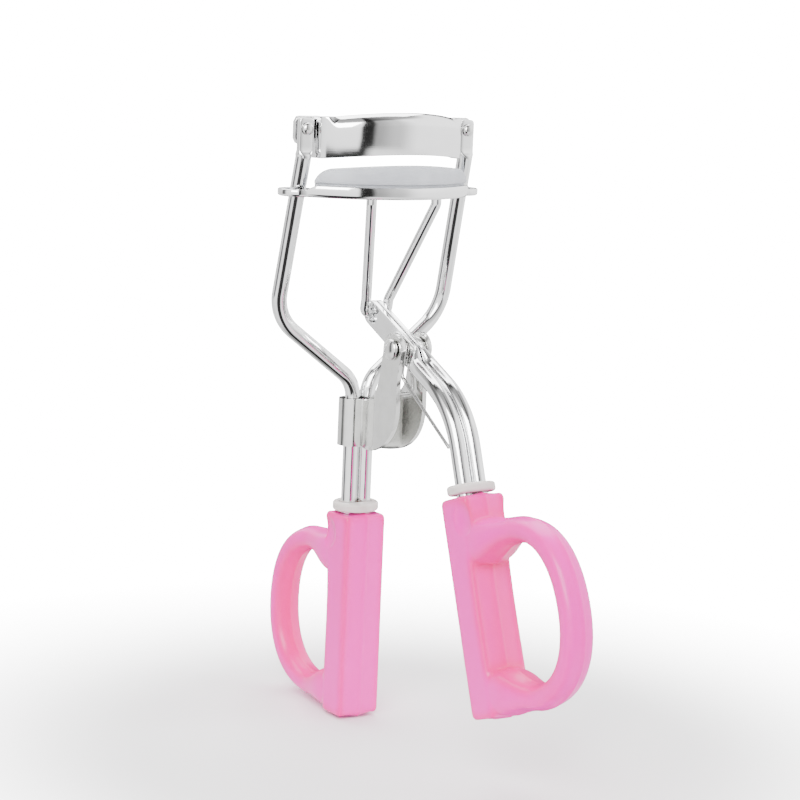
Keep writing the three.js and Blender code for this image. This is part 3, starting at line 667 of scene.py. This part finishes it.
# ---- lower jaw --------------------------------------------------------------------------
def tray():
    limit = math.radians(TRAY_REACH)
    rows = []
    for angle in np.linspace(-limit, limit, 130):
        steep = float(smoothstep((TRAY_DROP_END - abs(math.degrees(angle))) / TRAY_DROP))
        top = TRAY_END_HEIGHT + (TRAY_HEIGHT - TRAY_END_HEIGHT) * steep
        w, n = TRAY_HALF, TRAY_HALF - TRAY_WALL
        half = [
            (w - 0.62, 0), (w - 0.38, 0.05), (w - 0.18, 0.17), (w - 0.05, 0.37), (w, 0.62),
            (w, top - 0.22), (w - 0.06, top - 0.08), (w - 0.18, top), (n + 0.14, top),
            (n + 0.04, top - 0.05), (n, top - 0.16), (n, TRAY_FLOOR),
        ]
        mirrored = [(-x, z) for x, z in half][::-1]
        u = arr(math.sin(angle), -math.cos(angle), 0)
        rows.append((jaw_point(JAW_R, angle, TRAY_Z), u, arr(0, 0, 1), np.array(half + mirrored)))
    body = skin("lower_jaw_tray_fine", rows)
    outer, wall, hole = EYELET["outer"], EYELET["wall"], EYELET["hole"]
    high = TRAY_END_HEIGHT
    for side in (-1, 1):
        centre = (side * EYELET["x"], EYELET["y"], TRAY_Z)
        ring = lathe("ring", [
            (hole - 0.3, 0), (outer - 0.5, 0), (outer - 0.28, 0.05), (outer - 0.1, 0.17),
            (outer - 0.02, 0.34), (outer, 0.5), (outer, high - 0.22), (outer - 0.07, high - 0.07),
            (outer - 0.2, high), (outer - wall + 0.16, high), (outer - wall + 0.05, high - 0.05),
            (outer - wall, high - 0.16), (outer - wall, TRAY_FLOOR), (hole - 0.3, TRAY_FLOOR),
        ], 96)
        combine(body, shifted(ring, centre), "UNION")
        combine(body, shifted(plug(hole, -2, 6, 96), centre))
        seat = plug(WIRE_R + 0.35, -1, 2, 48)
        combine(body, shifted(seat, (side * WIRE_TOP[0], WIRE_TOP[1], TRAY_Z)))
    return body


def pad():
    sweep = np.linspace(0, math.pi, 121)
    rows = []
    for angle in -np.cos(sweep) * PAD_REACH:
        x = JAW_R * math.sin(angle)
        edge = (PAD_REACH - abs(angle)) / PAD_ROUND_OFF
        round_off = math.sqrt(max(0.0, 1 - (1 - min(1, max(0.02, edge))) ** 2))
        full = PLATE_LOW - JAW_OPEN + PLATE_ARCH_LOW * arch(x)
        top = PAD_SHOULDER + PAD_END_RISE + (full - PAD_SHOULDER - PAD_END_RISE) * round_off
        h = top - PAD_SHOULDER
        wide = PAD_FOOT + (PAD_HALF - PAD_FOOT) * min(1, h / 1.2)
        crown = [
            (wide * math.cos(a) ** 0.62, PAD_SHOULDER + h * (0.30 + 0.70 * math.sin(a) ** 0.85))
            for a in np.linspace(0.0, math.pi / 2 - 0.06, 11)
        ]
        half = [
            (PAD_FOOT, PAD_BOTTOM), (PAD_FOOT, PAD_SHOULDER - 0.5), (PAD_FOOT, PAD_SHOULDER),
            (PAD_FOOT + (wide - PAD_FOOT) * 0.7, PAD_SHOULDER + 0.05 * h),
            (wide * 0.985, PAD_SHOULDER + 0.14 * h), *crown,
        ]
        mirrored = [(-a, b) for a, b in half][::-1]
        u = arr(math.sin(angle), -math.cos(angle), 0)
        rows.append((jaw_point(JAW_R, angle, 0), u, arr(0, 0, 1), np.array(half + mirrored)))
    return skin("lower_jaw_pad_fine", rows)


def push_wire():
    x, y, z = WIRE_PIN
    tx, ty, tz = WIRE_TOP
    half = [(-tx, ty, tz), (-tx, ty, tz - 1.6), (-x, y - 0.45, z + 2.6), (-x, y, z)]
    path = bent_path(
        half + [(-a, b, c) for a, b, c in half][::-1],
        [0, 1.6, 2.5, 1.15, 1.15, 2.5, 1.6, 0], steps=14, run=1.0,
    )
    return domed_tube("push_wire_fine", path, WIRE_R, arr(0, 1, 0), 40)


# ---- lever wires ------------------------------------------------------------------------
def lever_rod(side, name):
    run = arr(0, math.cos(BLADE_ANGLE), math.sin(BLADE_ANGLE))
    down = arr(0, -math.sin(LEVER_TILT), -math.cos(LEVER_TILT))
    end = arr(0, *LEVER_COLLAR) + down * LEVER_ROD_IN
    corners = [tuple(run * -BLADE_TO_WIRE[-1][0]), (0, LEVER_BEND[0], LEVER_BEND[1]), tuple(end)]
    path = bent_path(corners, [0, LEVER_BEND[2], 0])
    rows = []

    def place(s, half, thick, x, power):
        origin = run * s + arr(side * x, 0, 0)
        outline = round_outline(thick, half, power, 48)
        rows.append((origin, arr(1, 0, 0), arr(0, -run[2], run[1]), outline))

    # rounded tip, flat blade, then the blade grows back into round wire
    wide, thick, x = BLADE["half_width"], BLADE["half_thick"], BLADE["x"]
    centre = BLADE["tip"] - wide
    for degrees, thinner in BLADE_TIP:
        angle = math.radians(degrees)
        place(centre + wide * math.cos(angle), wide * math.sin(angle), thick - thinner, x, BLADE_POWER)
    behind, *columns = zip(*BLADE_TO_WIRE)
    for s in np.linspace(centre - 0.6, -behind[0], 18):
        place(s, wide, thick, x, BLADE_POWER)
    for s in np.linspace(-3.25, -6.4, 14):
        place(s, *[float(np.interp(-s, behind, column)) for column in columns])
    wire = along_path(path, arr(1, 0, 0), lambda i: round_outline(ROD_R, ROD_R, 2, 48))
    for origin, u, v, outline in wire:
        rows.append((origin + arr(side * ROD_X, 0, 0), u, v, outline))
    rod = skin(name, rows)
    r = WIRE_R + SLOT_PLAY
    slot = [(r * math.cos(a), r * math.sin(a)) for a in np.linspace(math.pi / 2, -math.pi / 2, 25)]
    slot += [
        (-SLOT_LENGTH + r * math.cos(a), r * math.sin(a))
        for a in np.linspace(-math.pi / 2, -1.5 * math.pi, 25)
    ]
    cut = slab("slot", slot, -5, 5, "X")
    cut.data.transform(Matrix.Rotation(BLADE_ANGLE, 4, "X"))
    combine(rod, shifted(cut, (0, WIRE_PIN[1], WIRE_PIN[2])))
    return combine(rod, plug(RIVET_R + GAP, -8, 8, 64, "X"))


# ---- pivot bracket and rivet ------------------------------------------------------------
def bracket_plan():
    wrap = [
        (-ROD_X + SLEEVE["r"] * math.sin(a), FRAME_Y - SLEEVE["r"] * math.cos(a))
        for a in np.radians(np.linspace(-180, 8, 46))
    ]
    # tight fold at the groove between the two wires
    fold_r, heading = 0.6, math.radians(8)
    fx = wrap[-1][0] + fold_r * math.sin(heading)
    fy = wrap[-1][1] - fold_r * math.cos(heading)
    turn = [
        (fx + fold_r * math.cos(a), fy + fold_r * math.sin(a))
        for a in np.radians(np.linspace(98, -16.5, 16))[1:]
    ]
    ear = bent_path(
        [(turn[-1][0], turn[-1][1], 0), (-EAR_X, 5.0, 0), (-EAR_X, -EAR_R - 0.5, 0)],
        [0, 5, 0], steps=16, run=60,
    )[1:]
    half = [*wrap, *turn, *[(p[0], p[1]) for p in ear]][::-1]
    return half + [(-x, y) for x, y in half][::-1]


def offset_line(line, distance):
    pts = np.array(line)
    moved = []
    for i, p in enumerate(pts):
        t = unit(pts[min(i + 1, len(pts) - 1)] - pts[max(i - 1, 0)])
        moved.append((p[0] - t[1] * distance, p[1] + t[0] * distance))
    return moved


def spline(points, count):
    """Smooth curve through the points, with the same number of samples between each two."""
    pts = np.array(points, float)
    pad_pts = np.vstack([2 * pts[0] - pts[1], pts, 2 * pts[-1] - pts[-2]])
    out = []
    for u in np.linspace(0, len(pts) - 1 - 1e-9, count):
        i = int(u)
        f = u - i
        p0, p1, p2, p3 = pad_pts[i:i + 4]
        out.append(tuple(0.5 * (
            2 * p1 + (p2 - p0) * f + (2 * p0 - 5 * p1 + 4 * p2 - p3) * f * f
            + (3 * p1 - p0 - 3 * p2 + p3) * f ** 3
        )))
    return out


def bracket():
    plan = bracket_plan()
    line = [p for i, p in enumerate(plan) if i == 0 or math.dist(p, plan[i - 1]) > 0.02]
    outline = offset_line(line, SHEET / 2) + offset_line(line, -SHEET / 2)[::-1]
    sheet = slab("pivot_bracket_fine", outline, -24, 6)
    low, high = SLEEVE["low"], SLEEVE["high"]
    lower = spline([
        (-EAR_R + 0.35, -1.6), (-2.15, -3.6), (-1.95, -8), (-1.9, -12.6), (-0.6, -16.0),
        (2.2, -18.7), (6.2, -20.4), (10.5, low),
    ], 46)
    upper = spline([
        (11.6, high), (8.4, -10.6), (5.7, -9.0), (4.3, -6.9), (3.6, -3.6), (EAR_R, -0.3),
    ], 32)
    crown = [(EAR_R * math.cos(a), EAR_R * math.sin(a)) for a in np.linspace(0, math.pi, 36)]
    mask = slab("mask", [*lower, (20, low), (20, high), *upper, *crown], -8, 8, "X")
    combine(sheet, mask, "INTERSECT")
    combine(sheet, plug(RIVET_R + GAP, -8, 8, 64, "X"))
    return soften(sheet, SHEET_EDGE, 3)


def pivot_rivet():
    seat = EAR_X + SHEET / 2 + 0.22
    r = RIVET_HEAD_R
    dome = [
        (r * math.cos(a) ** 0.9, seat + 0.22 + 0.9 * math.sin(a))
        for a in np.linspace(0, math.pi / 2, 16)
    ]
    half = [(RIVET_R, seat), (r - 0.1, seat), (r, seat + 0.08), *dome[:-1], (0, seat + 1.12)]
    lower = [(a, -b) for a, b in half][::-1]
    return lathe("pivot_rivet_fine", lower + half, 80, "X")


# ---- return spring ----------------------------------------------------------------------
def return_spring():
    def arm(side):
        loop = [
            arr(side * SPRING_X, SPRING_LOOP_R * math.cos(a), SPRING_LOOP_R * math.sin(a))
            for a in np.radians(np.linspace(205, -20, 40))
        ]
        rest = (side * SPRING_X, -17.55, -15.75)
        knee = (side * SPRING_X, -1.2, -5.0)
        return bent_path([rest, knee, tuple(loop[0])], [0, 1.5, 0], 14)[:-1] + loop

    near, far = arm(-1), arm(1)[::-1]
    bridge = bent_path(
        [tuple(near[-1]), (-SPRING_X, 0.35, -8.6), (SPRING_X, 0.35, -8.6), tuple(far[0])],
        [0, 1.2, 1.2, 0], steps=12, run=0.8,
    )[1:-1]
    return domed_tube("return_spring_fine", near + bridge + far, SPRING_R, arr(0.12, 1, 0.35), 20)


# ---- handles ----------------------------------------------------------------------------
# Handle axes: a points away from the other handle, b up the handle from its top at 0, c sideways.
def bezier(points, count):
    p = np.array(points, float)
    t = np.linspace(0, 1, count)[:, None]
    return (1 - t) ** 3 * p[0] + 3 * (1 - t) ** 2 * t * p[1] + 3 * (1 - t) * t * t * p[2] + t ** 3 * p[3]


def finger_loop():
    route = np.vstack([
        np.linspace((-1.5, -9.4), (3.5, -9.1), 8)[:-1],
        bezier([(3.5, -9.1), (6, -8.9), (8.5, -8.3), (12, -8.3)], 12)[:-1],
        bezier([(12, -8.3), (20, -8.3), (25.2, -14.4), (25.2, -23.8)], 40)[:-1],
        bezier([(25.2, -23.8), (25.2, -32.8), (20, -38.1), (12, -38.1)], 40)[:-1],
        np.linspace((12, -38.1), (-1.5, -35.4), 16),
    ])
    points = [arr(p[0], p[1], 0) for p in route]

    def outline_at(i):
        near = float(smoothstep((14.5 - points[i][0]) / 11))
        wide = LOOP["half_width"] + 1.5 * near
        return round_outline(wide, LOOP["half_thick"] + 1.9 * near ** 2, 2.3 + 0.7 * near, 48)

    return skin("loop", along_path(points, arr(0, 0, 1), outline_at))


def trunk():
    back, front, waist, length = HANDLE["back"], HANDLE["front"], HANDLE["waist"], HANDLE["length"]
    outline = np.vstack([
        [(-back, -length), (waist, -length)],
        bezier([(waist, -length), (waist + 0.3, -34), (waist, -30), (waist, -22.6)], 14)[1:],
        bezier([(waist, -22.6), (waist, -15), (waist + 0.2, -10), (front, -6)], 16)[1:],
        [(front, 0), (-back, 0)],
    ])
    half = HANDLE["half_width"]
    block = slab("trunk", [tuple(p) for p in outline], -half, half)
    return soften(block, HANDLE["edge"], 5)


def handle(name, outward, depth):
    """One moulded piece: trunk and finger loop grown together, scooped, parted on its mid-plane."""
    solid = trunk()
    loop = finger_loop()
    joined = bmesh.new()
    for part in (solid, loop):
        joined.from_mesh(part.data)
    joined.to_mesh(solid.data)
    joined.free()
    bpy.data.objects.remove(loop)
    grow = solid.modifiers.new("grow", "REMESH")
    grow.mode = "VOXEL"
    grow.voxel_size = HANDLE_VOXEL
    grow.adaptivity = 0.0
    relax = solid.modifiers.new("relax", "SMOOTH")
    relax.factor = 0.5
    relax.iterations = 9
    apply_modifiers(solid)
    mesh = solid.data
    co = vertex_rows(mesh, "co")
    normal = vertex_rows(mesh, "normal")

    # finger scoop in each side face
    q = (co[:, :2] - arr(*SCOOP["centre"])) / arr(*SCOOP["reach"])
    inside = 1 - (q ** 2).sum(1)
    depth_at = SCOOP["depth"] * np.sqrt(np.clip(inside, 0, 1))
    bottom = HANDLE["half_width"] + SCOOP["lift"] - depth_at
    dip = (inside > 0) & (np.abs(co[:, 2]) > bottom)
    co[dip, 2] = np.sign(co[dip, 2]) * bottom[dip]

    # both mould halves draw away from the parting line, which leaves a faint ridge
    width = np.where(co[:, 0] > LOOP["start"], LOOP["half_width"], HANDLE["half_width"])
    share = np.clip(np.abs(co[:, 2]) / width, 0, 1)
    facing = np.clip(1 - np.abs(normal[:, 2]) * 1.15, 0, 1)
    draw = -MOULD_DRAW * share * facing
    seam = SEAM_HEIGHT * np.exp(-(co[:, 2] / SEAM_WIDTH) ** 2) - SEAM_HEIGHT
    co += normal * (draw + seam * facing)[:, None]

    mesh.vertices.foreach_set("co", co.reshape(-1))
    relax = solid.modifiers.new("relax", "SMOOTH")
    relax.factor = 0.5
    relax.iterations = 3
    apply_modifiers(solid)
    # paints shade into the pink along edges and creases and inside the loop
    painted_shade_attribute(solid)
    if outward < 0:
        turn = Matrix(((0, 0, -1, 0), (-1, 0, 0, 0), (0, 1, 0, 0), (0, 0, 0, 1)))
    else:
        turn = Matrix(((0, 0, 1, 0), (1, 0, 0, 0), (0, 1, 0, 0), (0, 0, 0, 1)))
    solid.data.transform(turn)
    solid.name = name
    return combine(solid, wire_socket(-depth - GAP, 1.3))


def painted_shade_attribute(obj):
    """Vertex attribute of painted shade for the pink: high along edges and creases and inside the loop."""
    mesh = obj.data
    count = len(mesh.vertices)
    co = vertex_rows(mesh, "co")
    normal = vertex_rows(mesh, "normal")
    ends = np.empty(len(mesh.edges) * 2, np.int32)
    mesh.edges.foreach_get("vertices", ends)
    a, b = ends.reshape(-1, 2).T
    degree = np.bincount(a, minlength=count) + np.bincount(b, minlength=count)

    def around(values):
        total = np.zeros_like(values)
        np.add.at(total, a, values[b])
        np.add.at(total, b, values[a])
        return total / degree.reshape((-1,) + (1,) * (values.ndim - 1))

    wide = normal.copy()
    for _ in range(10):
        wide = around(wide)
    # how much the surface turns within a few voxels
    turning = 1 - np.linalg.norm(wide, axis=1)
    # sharp turns of the surface, at edges and creases, get painted shade
    painted_shade = np.clip(turning * 5.5, 0, 1)
    # the inner side of the loop is lit less and reads deeper
    to_hole = arr(*LOOP["centre"]) - co[:, :2]
    to_hole /= np.linalg.norm(to_hole, axis=1)[:, None]
    inward = np.clip((normal[:, :2] * to_hole).sum(1), 0, 1) * smoothstep((co[:, 0] - 1.5) / 2)
    painted_shade = np.clip(0.85 * painted_shade + 0.55 * inward, 0, 1)
    for _ in range(6):
        painted_shade = around(painted_shade)
    layer = mesh.attributes.new("painted_shade", "FLOAT", "POINT")
    layer.data.foreach_set("value", painted_shade.astype(np.float32))


def wire_socket(low, high):
    """Room for both wires of a handle."""
    r = ROD_R + GAP
    sweep = np.linspace(-math.pi / 2, math.pi / 2, 21)
    right = [(ROD_X + r * math.cos(a), r * math.sin(a)) for a in sweep]
    left = [(-x, -y) for x, y in right]
    return slab("socket", right + left, low, high)


def collar(name):
    """Soft round washer where the wires enter a handle."""
    a, b, r = WASHER["half_x"], WASHER["half_y"], WASHER["edge"]
    low, top = WASHER["low"], WASHER["top"]
    rows = []
    for t in np.linspace(math.pi / 2, 0, 7):
        rows.append((a - r + r * math.cos(t), b - r + r * math.cos(t), low + r - r * math.sin(t)))
    for t in np.linspace(0, math.pi / 2, 7):
        rows.append((a - r + r * math.cos(t), b - r + r * math.cos(t), top - r + r * math.sin(t)))
    ux, uy = arr(1, 0, 0), arr(0, 1, 0)
    ring = skin(name, [(arr(0, 0, z), ux, uy, round_outline(p, q, 2, 72)) for p, q, z in rows])
    return combine(ring, wire_socket(-3, 5))


# ---- pieces -----------------------------------------------------------------------------
for side, label in ((-1, "left"), (1, "right")):
    rod_node = f"frame_rod_{label}"
    finish_piece(frame_rod(side, rod_node + "_fine"), "frame", [rod_node], WIRE)
    rivet_node = f"upper_jaw_rivet_{label}"
    finish_piece(jaw_rivet(side, rivet_node + "_fine"), "frame", [rivet_node], RIVET_METAL)
    lever_node = f"lever_rod_{label}"
    lever = lever_rod(side, lever_node + "_fine")
    finish_piece(lever, "lever", [lever_node], WIRE, sharp=24, level=True)

finish_piece(upper_plate(), "frame", ["upper_jaw_plate"], JAW_METAL)
sheet = bracket()
finish_piece(sheet, "frame", ["pivot_bracket"], BRACKET_METAL, sharp=32, level=True)
finish_piece(pivot_rivet(), "frame", ["pivot_rivet"], RIVET_METAL)
# the loops sit round the rivet and the free ends of the arms rest on the lever, so the spring is tied to no
# body
spring = finish_piece(return_spring(), None, ["return_spring"], SPRING_METAL)
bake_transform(spring)
finish_piece(tray(), "lower_jaw", ["lower_jaw_tray"], TRAY_METAL)
finish_piece(pad(), "lower_jaw", ["lower_jaw_pad"], SILICONE)
finish_piece(push_wire(), "push_wire", ["push_wire"], WIRE)

frame_top = (0, FRAME_Y, FRAME_HANDLE_TOP)
grip = shifted(handle("frame_handle_fine", 1, FRAME_HANDLE_TOP - FRAME_ROD_BOTTOM), frame_top)
finish_piece(grip, "frame", ["frame_handle"], PINK, sharp=60)
washer = shifted(collar("frame_collar_fine"), (0, FRAME_Y, FRAME_HANDLE_TOP + GAP))
finish_piece(washer, "frame", ["frame_collar"], COLLAR)

tilt = Matrix.Translation((0, *LEVER_COLLAR)) @ Matrix.Rotation(-LEVER_TILT, 4, "X")
grip = handle("lever_handle_fine", -1, LEVER_ROD_IN - COLLAR_HEIGHT / 2 - GAP)
shifted(grip, (0, 0, -COLLAR_HEIGHT / 2 - GAP)).data.transform(tilt)
finish_piece(grip, "lever", ["lever_handle"], PINK, sharp=60)
washer = shifted(collar("lever_collar_fine"), (0, 0, -COLLAR_HEIGHT / 2))
washer.data.transform(tilt)
finish_piece(washer, "lever", ["lever_collar"], COLLAR)


# ---- floor, light and camera ------------------------------------------------------------
FLOOR_R, FLOOR_DROP = 0.4, 0.0002
FLOOR_FADE_START, FLOOR_FADE_END = 0.05, 0.17


def floor():
    """Pale floor that fades into the surroundings away from the object."""
    s = Shader("studio_floor", Roughness=0.75, IOR=1.3)
    haze = s.noise(s.place(9.0), 2.0)
    s.to(s.ramp(haze, [(0.3, (0.93, 0.93, 0.93)), (0.7, (0.95, 0.95, 0.95))]), "Base Color")
    away = s.node("ShaderNodeVectorMath", operation="LENGTH")
    s.link(s.place(1.0), away.inputs[0])
    fade = s.node("ShaderNodeMapRange", interpolation_type="SMOOTHSTEP")
    fade.inputs["From Min"].default_value = FLOOR_FADE_START
    fade.inputs["From Max"].default_value = FLOOR_FADE_END
    s.link(away.outputs["Value"], fade.inputs["Value"])
    clear = s.node("ShaderNodeBsdfTransparent")
    blend = s.node("ShaderNodeMixShader")
    s.link(fade.outputs[0], blend.inputs[0])
    s.link(s.surface.outputs[0], blend.inputs[1])
    s.link(clear.outputs[0], blend.inputs[2])
    s.link(blend.outputs[0], s.tree.nodes["Material Output"].inputs["Surface"])
    sweep = np.linspace(0, 2 * math.pi, 65)[:-1]
    ring = [(FLOOR_R * math.cos(a), FLOOR_R * math.sin(a), 0) for a in sweep]
    disc = mesh_object("studio_floor", ring, [tuple(range(64))])
    disc.data.materials.append(s.material)
    disc.location.z = -FLOOR_DROP
    disc.visible_glossy = False


def studio_world():
    """White surroundings; reflections also see soft dark gaps between the light panels."""
    world = bpy.data.worlds.new("studio")
    bpy.context.scene.world = world
    world.use_nodes = True
    tree = world.node_tree
    tree.nodes.clear()

    def node(kind, **values):
        made = tree.nodes.new(kind)
        for key, value in values.items():
            setattr(made, key, value)
        return made

    def ramp(source, stops):
        made = node("ShaderNodeValToRGB")
        made.color_ramp.interpolation = "EASE"
        points = made.color_ramp.elements
        while len(points) < len(stops):
            points.new(0.5)
        for point, (at, grey) in zip(points, stops):
            point.position = at
            point.color = (grey, grey, grey, 1)
        tree.links.new(source, made.inputs[0])
        return made.outputs[0]

    def share(source, low, high):
        made = node("ShaderNodeMapRange")
        made.inputs["From Min"].default_value = low
        made.inputs["From Max"].default_value = high
        tree.links.new(source, made.inputs["Value"])
        return made.outputs[0]

    split = node("ShaderNodeSeparateXYZ")
    tree.links.new(node("ShaderNodeTexCoord").outputs["Generated"], split.inputs[0])
    turn = node("ShaderNodeMath", operation="ARCTAN2")
    tree.links.new(split.outputs["Y"], turn.inputs[0])
    tree.links.new(split.outputs["X"], turn.inputs[1])
    around = share(turn.outputs[0], -math.pi, math.pi)
    rise = share(split.outputs["Z"], -1, 1)
    level = node("ShaderNodeMix", data_type="RGBA")
    tree.links.new(ramp(rise, LOW_TO_HIGH), level.inputs[MIX_FACTOR])
    tree.links.new(ramp(around, LOW_PANELS), level.inputs[MIX_A])
    tree.links.new(ramp(around, WORLD_PANELS), level.inputs[MIX_B])
    panels = level.outputs[MIX_RESULT]
    height = ramp(rise, WORLD_HEIGHT)
    both = node("ShaderNodeMix", data_type="RGBA", blend_type="MULTIPLY")
    both.inputs[MIX_FACTOR].default_value = 1
    tree.links.new(panels, both.inputs[MIX_A])
    tree.links.new(height, both.inputs[MIX_B])

    def background(strength, colour=None):
        made = node("ShaderNodeBackground")
        made.inputs["Color"].default_value = (1, 1, 1, 1)
        made.inputs["Strength"].default_value = strength
        if colour is not None:
            tree.links.new(colour, made.inputs["Color"])
        return made.outputs[0]

    def choose(factor, first, second):
        made = node("ShaderNodeMixShader")
        tree.links.new(factor, made.inputs[0])
        tree.links.new(first, made.inputs[1])
        tree.links.new(second, made.inputs[2])
        return made.outputs[0]

    path = node("ShaderNodeLightPath")
    reflected = background(SKY_GLOSS, both.outputs[MIX_RESULT])
    lit = choose(path.outputs["Is Glossy Ray"], background(SKY_LIGHT), reflected)
    seen = choose(path.outputs["Is Camera Ray"], lit, background(SKY_SEEN))
    tree.links.new(seen, node("ShaderNodeOutputWorld").inputs["Surface"])


def softbox(name, place, target, size, energy):
    data = bpy.data.lights.new(name, "AREA")
    data.shape = "RECTANGLE"
    data.size, data.size_y = size
    data.energy = energy
    lamp = bpy.data.objects.new(name, data)
    bpy.context.scene.collection.objects.link(lamp)
    lamp.location = place
    lamp.rotation_euler = (Vector(target) - Vector(place)).to_track_quat("-Z", "Y").to_euler()
    return lamp


# strength of the surroundings on matt surfaces, in reflections and as the backdrop
SKY_LIGHT, SKY_GLOSS, SKY_SEEN = 1.1, 2.7, 20.0
# share of a full turn (0 at -X, 0.25 at -Y, 0.5 at +X) and brightness
WORLD_PANELS = [
    (0.00, 0.85), (0.08, 1.0), (0.192, 1.0), (0.199, 0.01), (0.226, 0.01), (0.244, 0.25), (0.300, 0.45),
    (0.37, 1.0), (0.585, 1.0), (0.625, 0.05), (0.675, 0.05), (0.72, 0.9), (0.80, 0.60), (0.88, 0.62),
    (0.915, 0.06), (0.945, 0.10), (1.00, 0.85),
]
# the same below the horizon, where the leaning wires look
LOW_PANELS = [
    (0.00, 0.95), (0.050, 0.90), (0.085, 0.02), (0.205, 0.02), (0.240, 0.90), (0.40, 0.80), (0.43, 1.0),
    (0.585, 1.0), (0.640, 0.06), (0.680, 0.06), (0.73, 0.9), (0.86, 0.70), (1.00, 0.95),
]
# share of the way from nadir to zenith and brightness, and the change from low to high panels
WORLD_HEIGHT = [(0.0, 0.15), (0.10, 0.70), (0.45, 0.85), (0.60, 1.0), (0.84, 1.0), (0.92, 0.25), (1.0, 0.2)]
LOW_TO_HIGH = [(0.33, 0.0), (0.385, 1.0)]

floor()
studio_world()
centre = (0, 0.0072, 0.062)
softbox("key_softbox", (-0.34, -0.30, 0.36), centre, (0.34, 0.34), 4.6)
fill = softbox("fill_softbox", (0.42, -0.22, 0.16), centre, (0.26, 0.40), 2.2)
fill.visible_glossy = False
softbox("top_softbox", (0.05, 0.20, 0.45), centre, (0.45, 0.35), 3.6)

AZIMUTH, ELEVATION, ROLL = math.radians(34.2), math.radians(9.1), math.radians(2.5)
DISTANCE = 0.4614
FOCAL = 109.9
target = Vector((-0.0002, 0.0075, 0.06535))
ray = Vector((
    -math.sin(AZIMUTH) * math.cos(ELEVATION), -math.cos(AZIMUTH) * math.cos(ELEVATION), math.sin(ELEVATION),
))
camera = bpy.data.objects.new("camera", bpy.data.cameras.new("camera"))
bpy.context.scene.collection.objects.link(camera)
camera.data.lens = FOCAL
camera.data.clip_start = 0.01
camera.data.shift_x = -0.005
camera.data.shift_y = -0.001
aim = (-ray).to_track_quat("-Z", "Y").to_matrix().to_4x4()
camera.matrix_world = Matrix.Translation(target + ray * DISTANCE) @ aim @ Matrix.Rotation(ROLL, 4, "Z")
bpy.context.scene.camera = camera
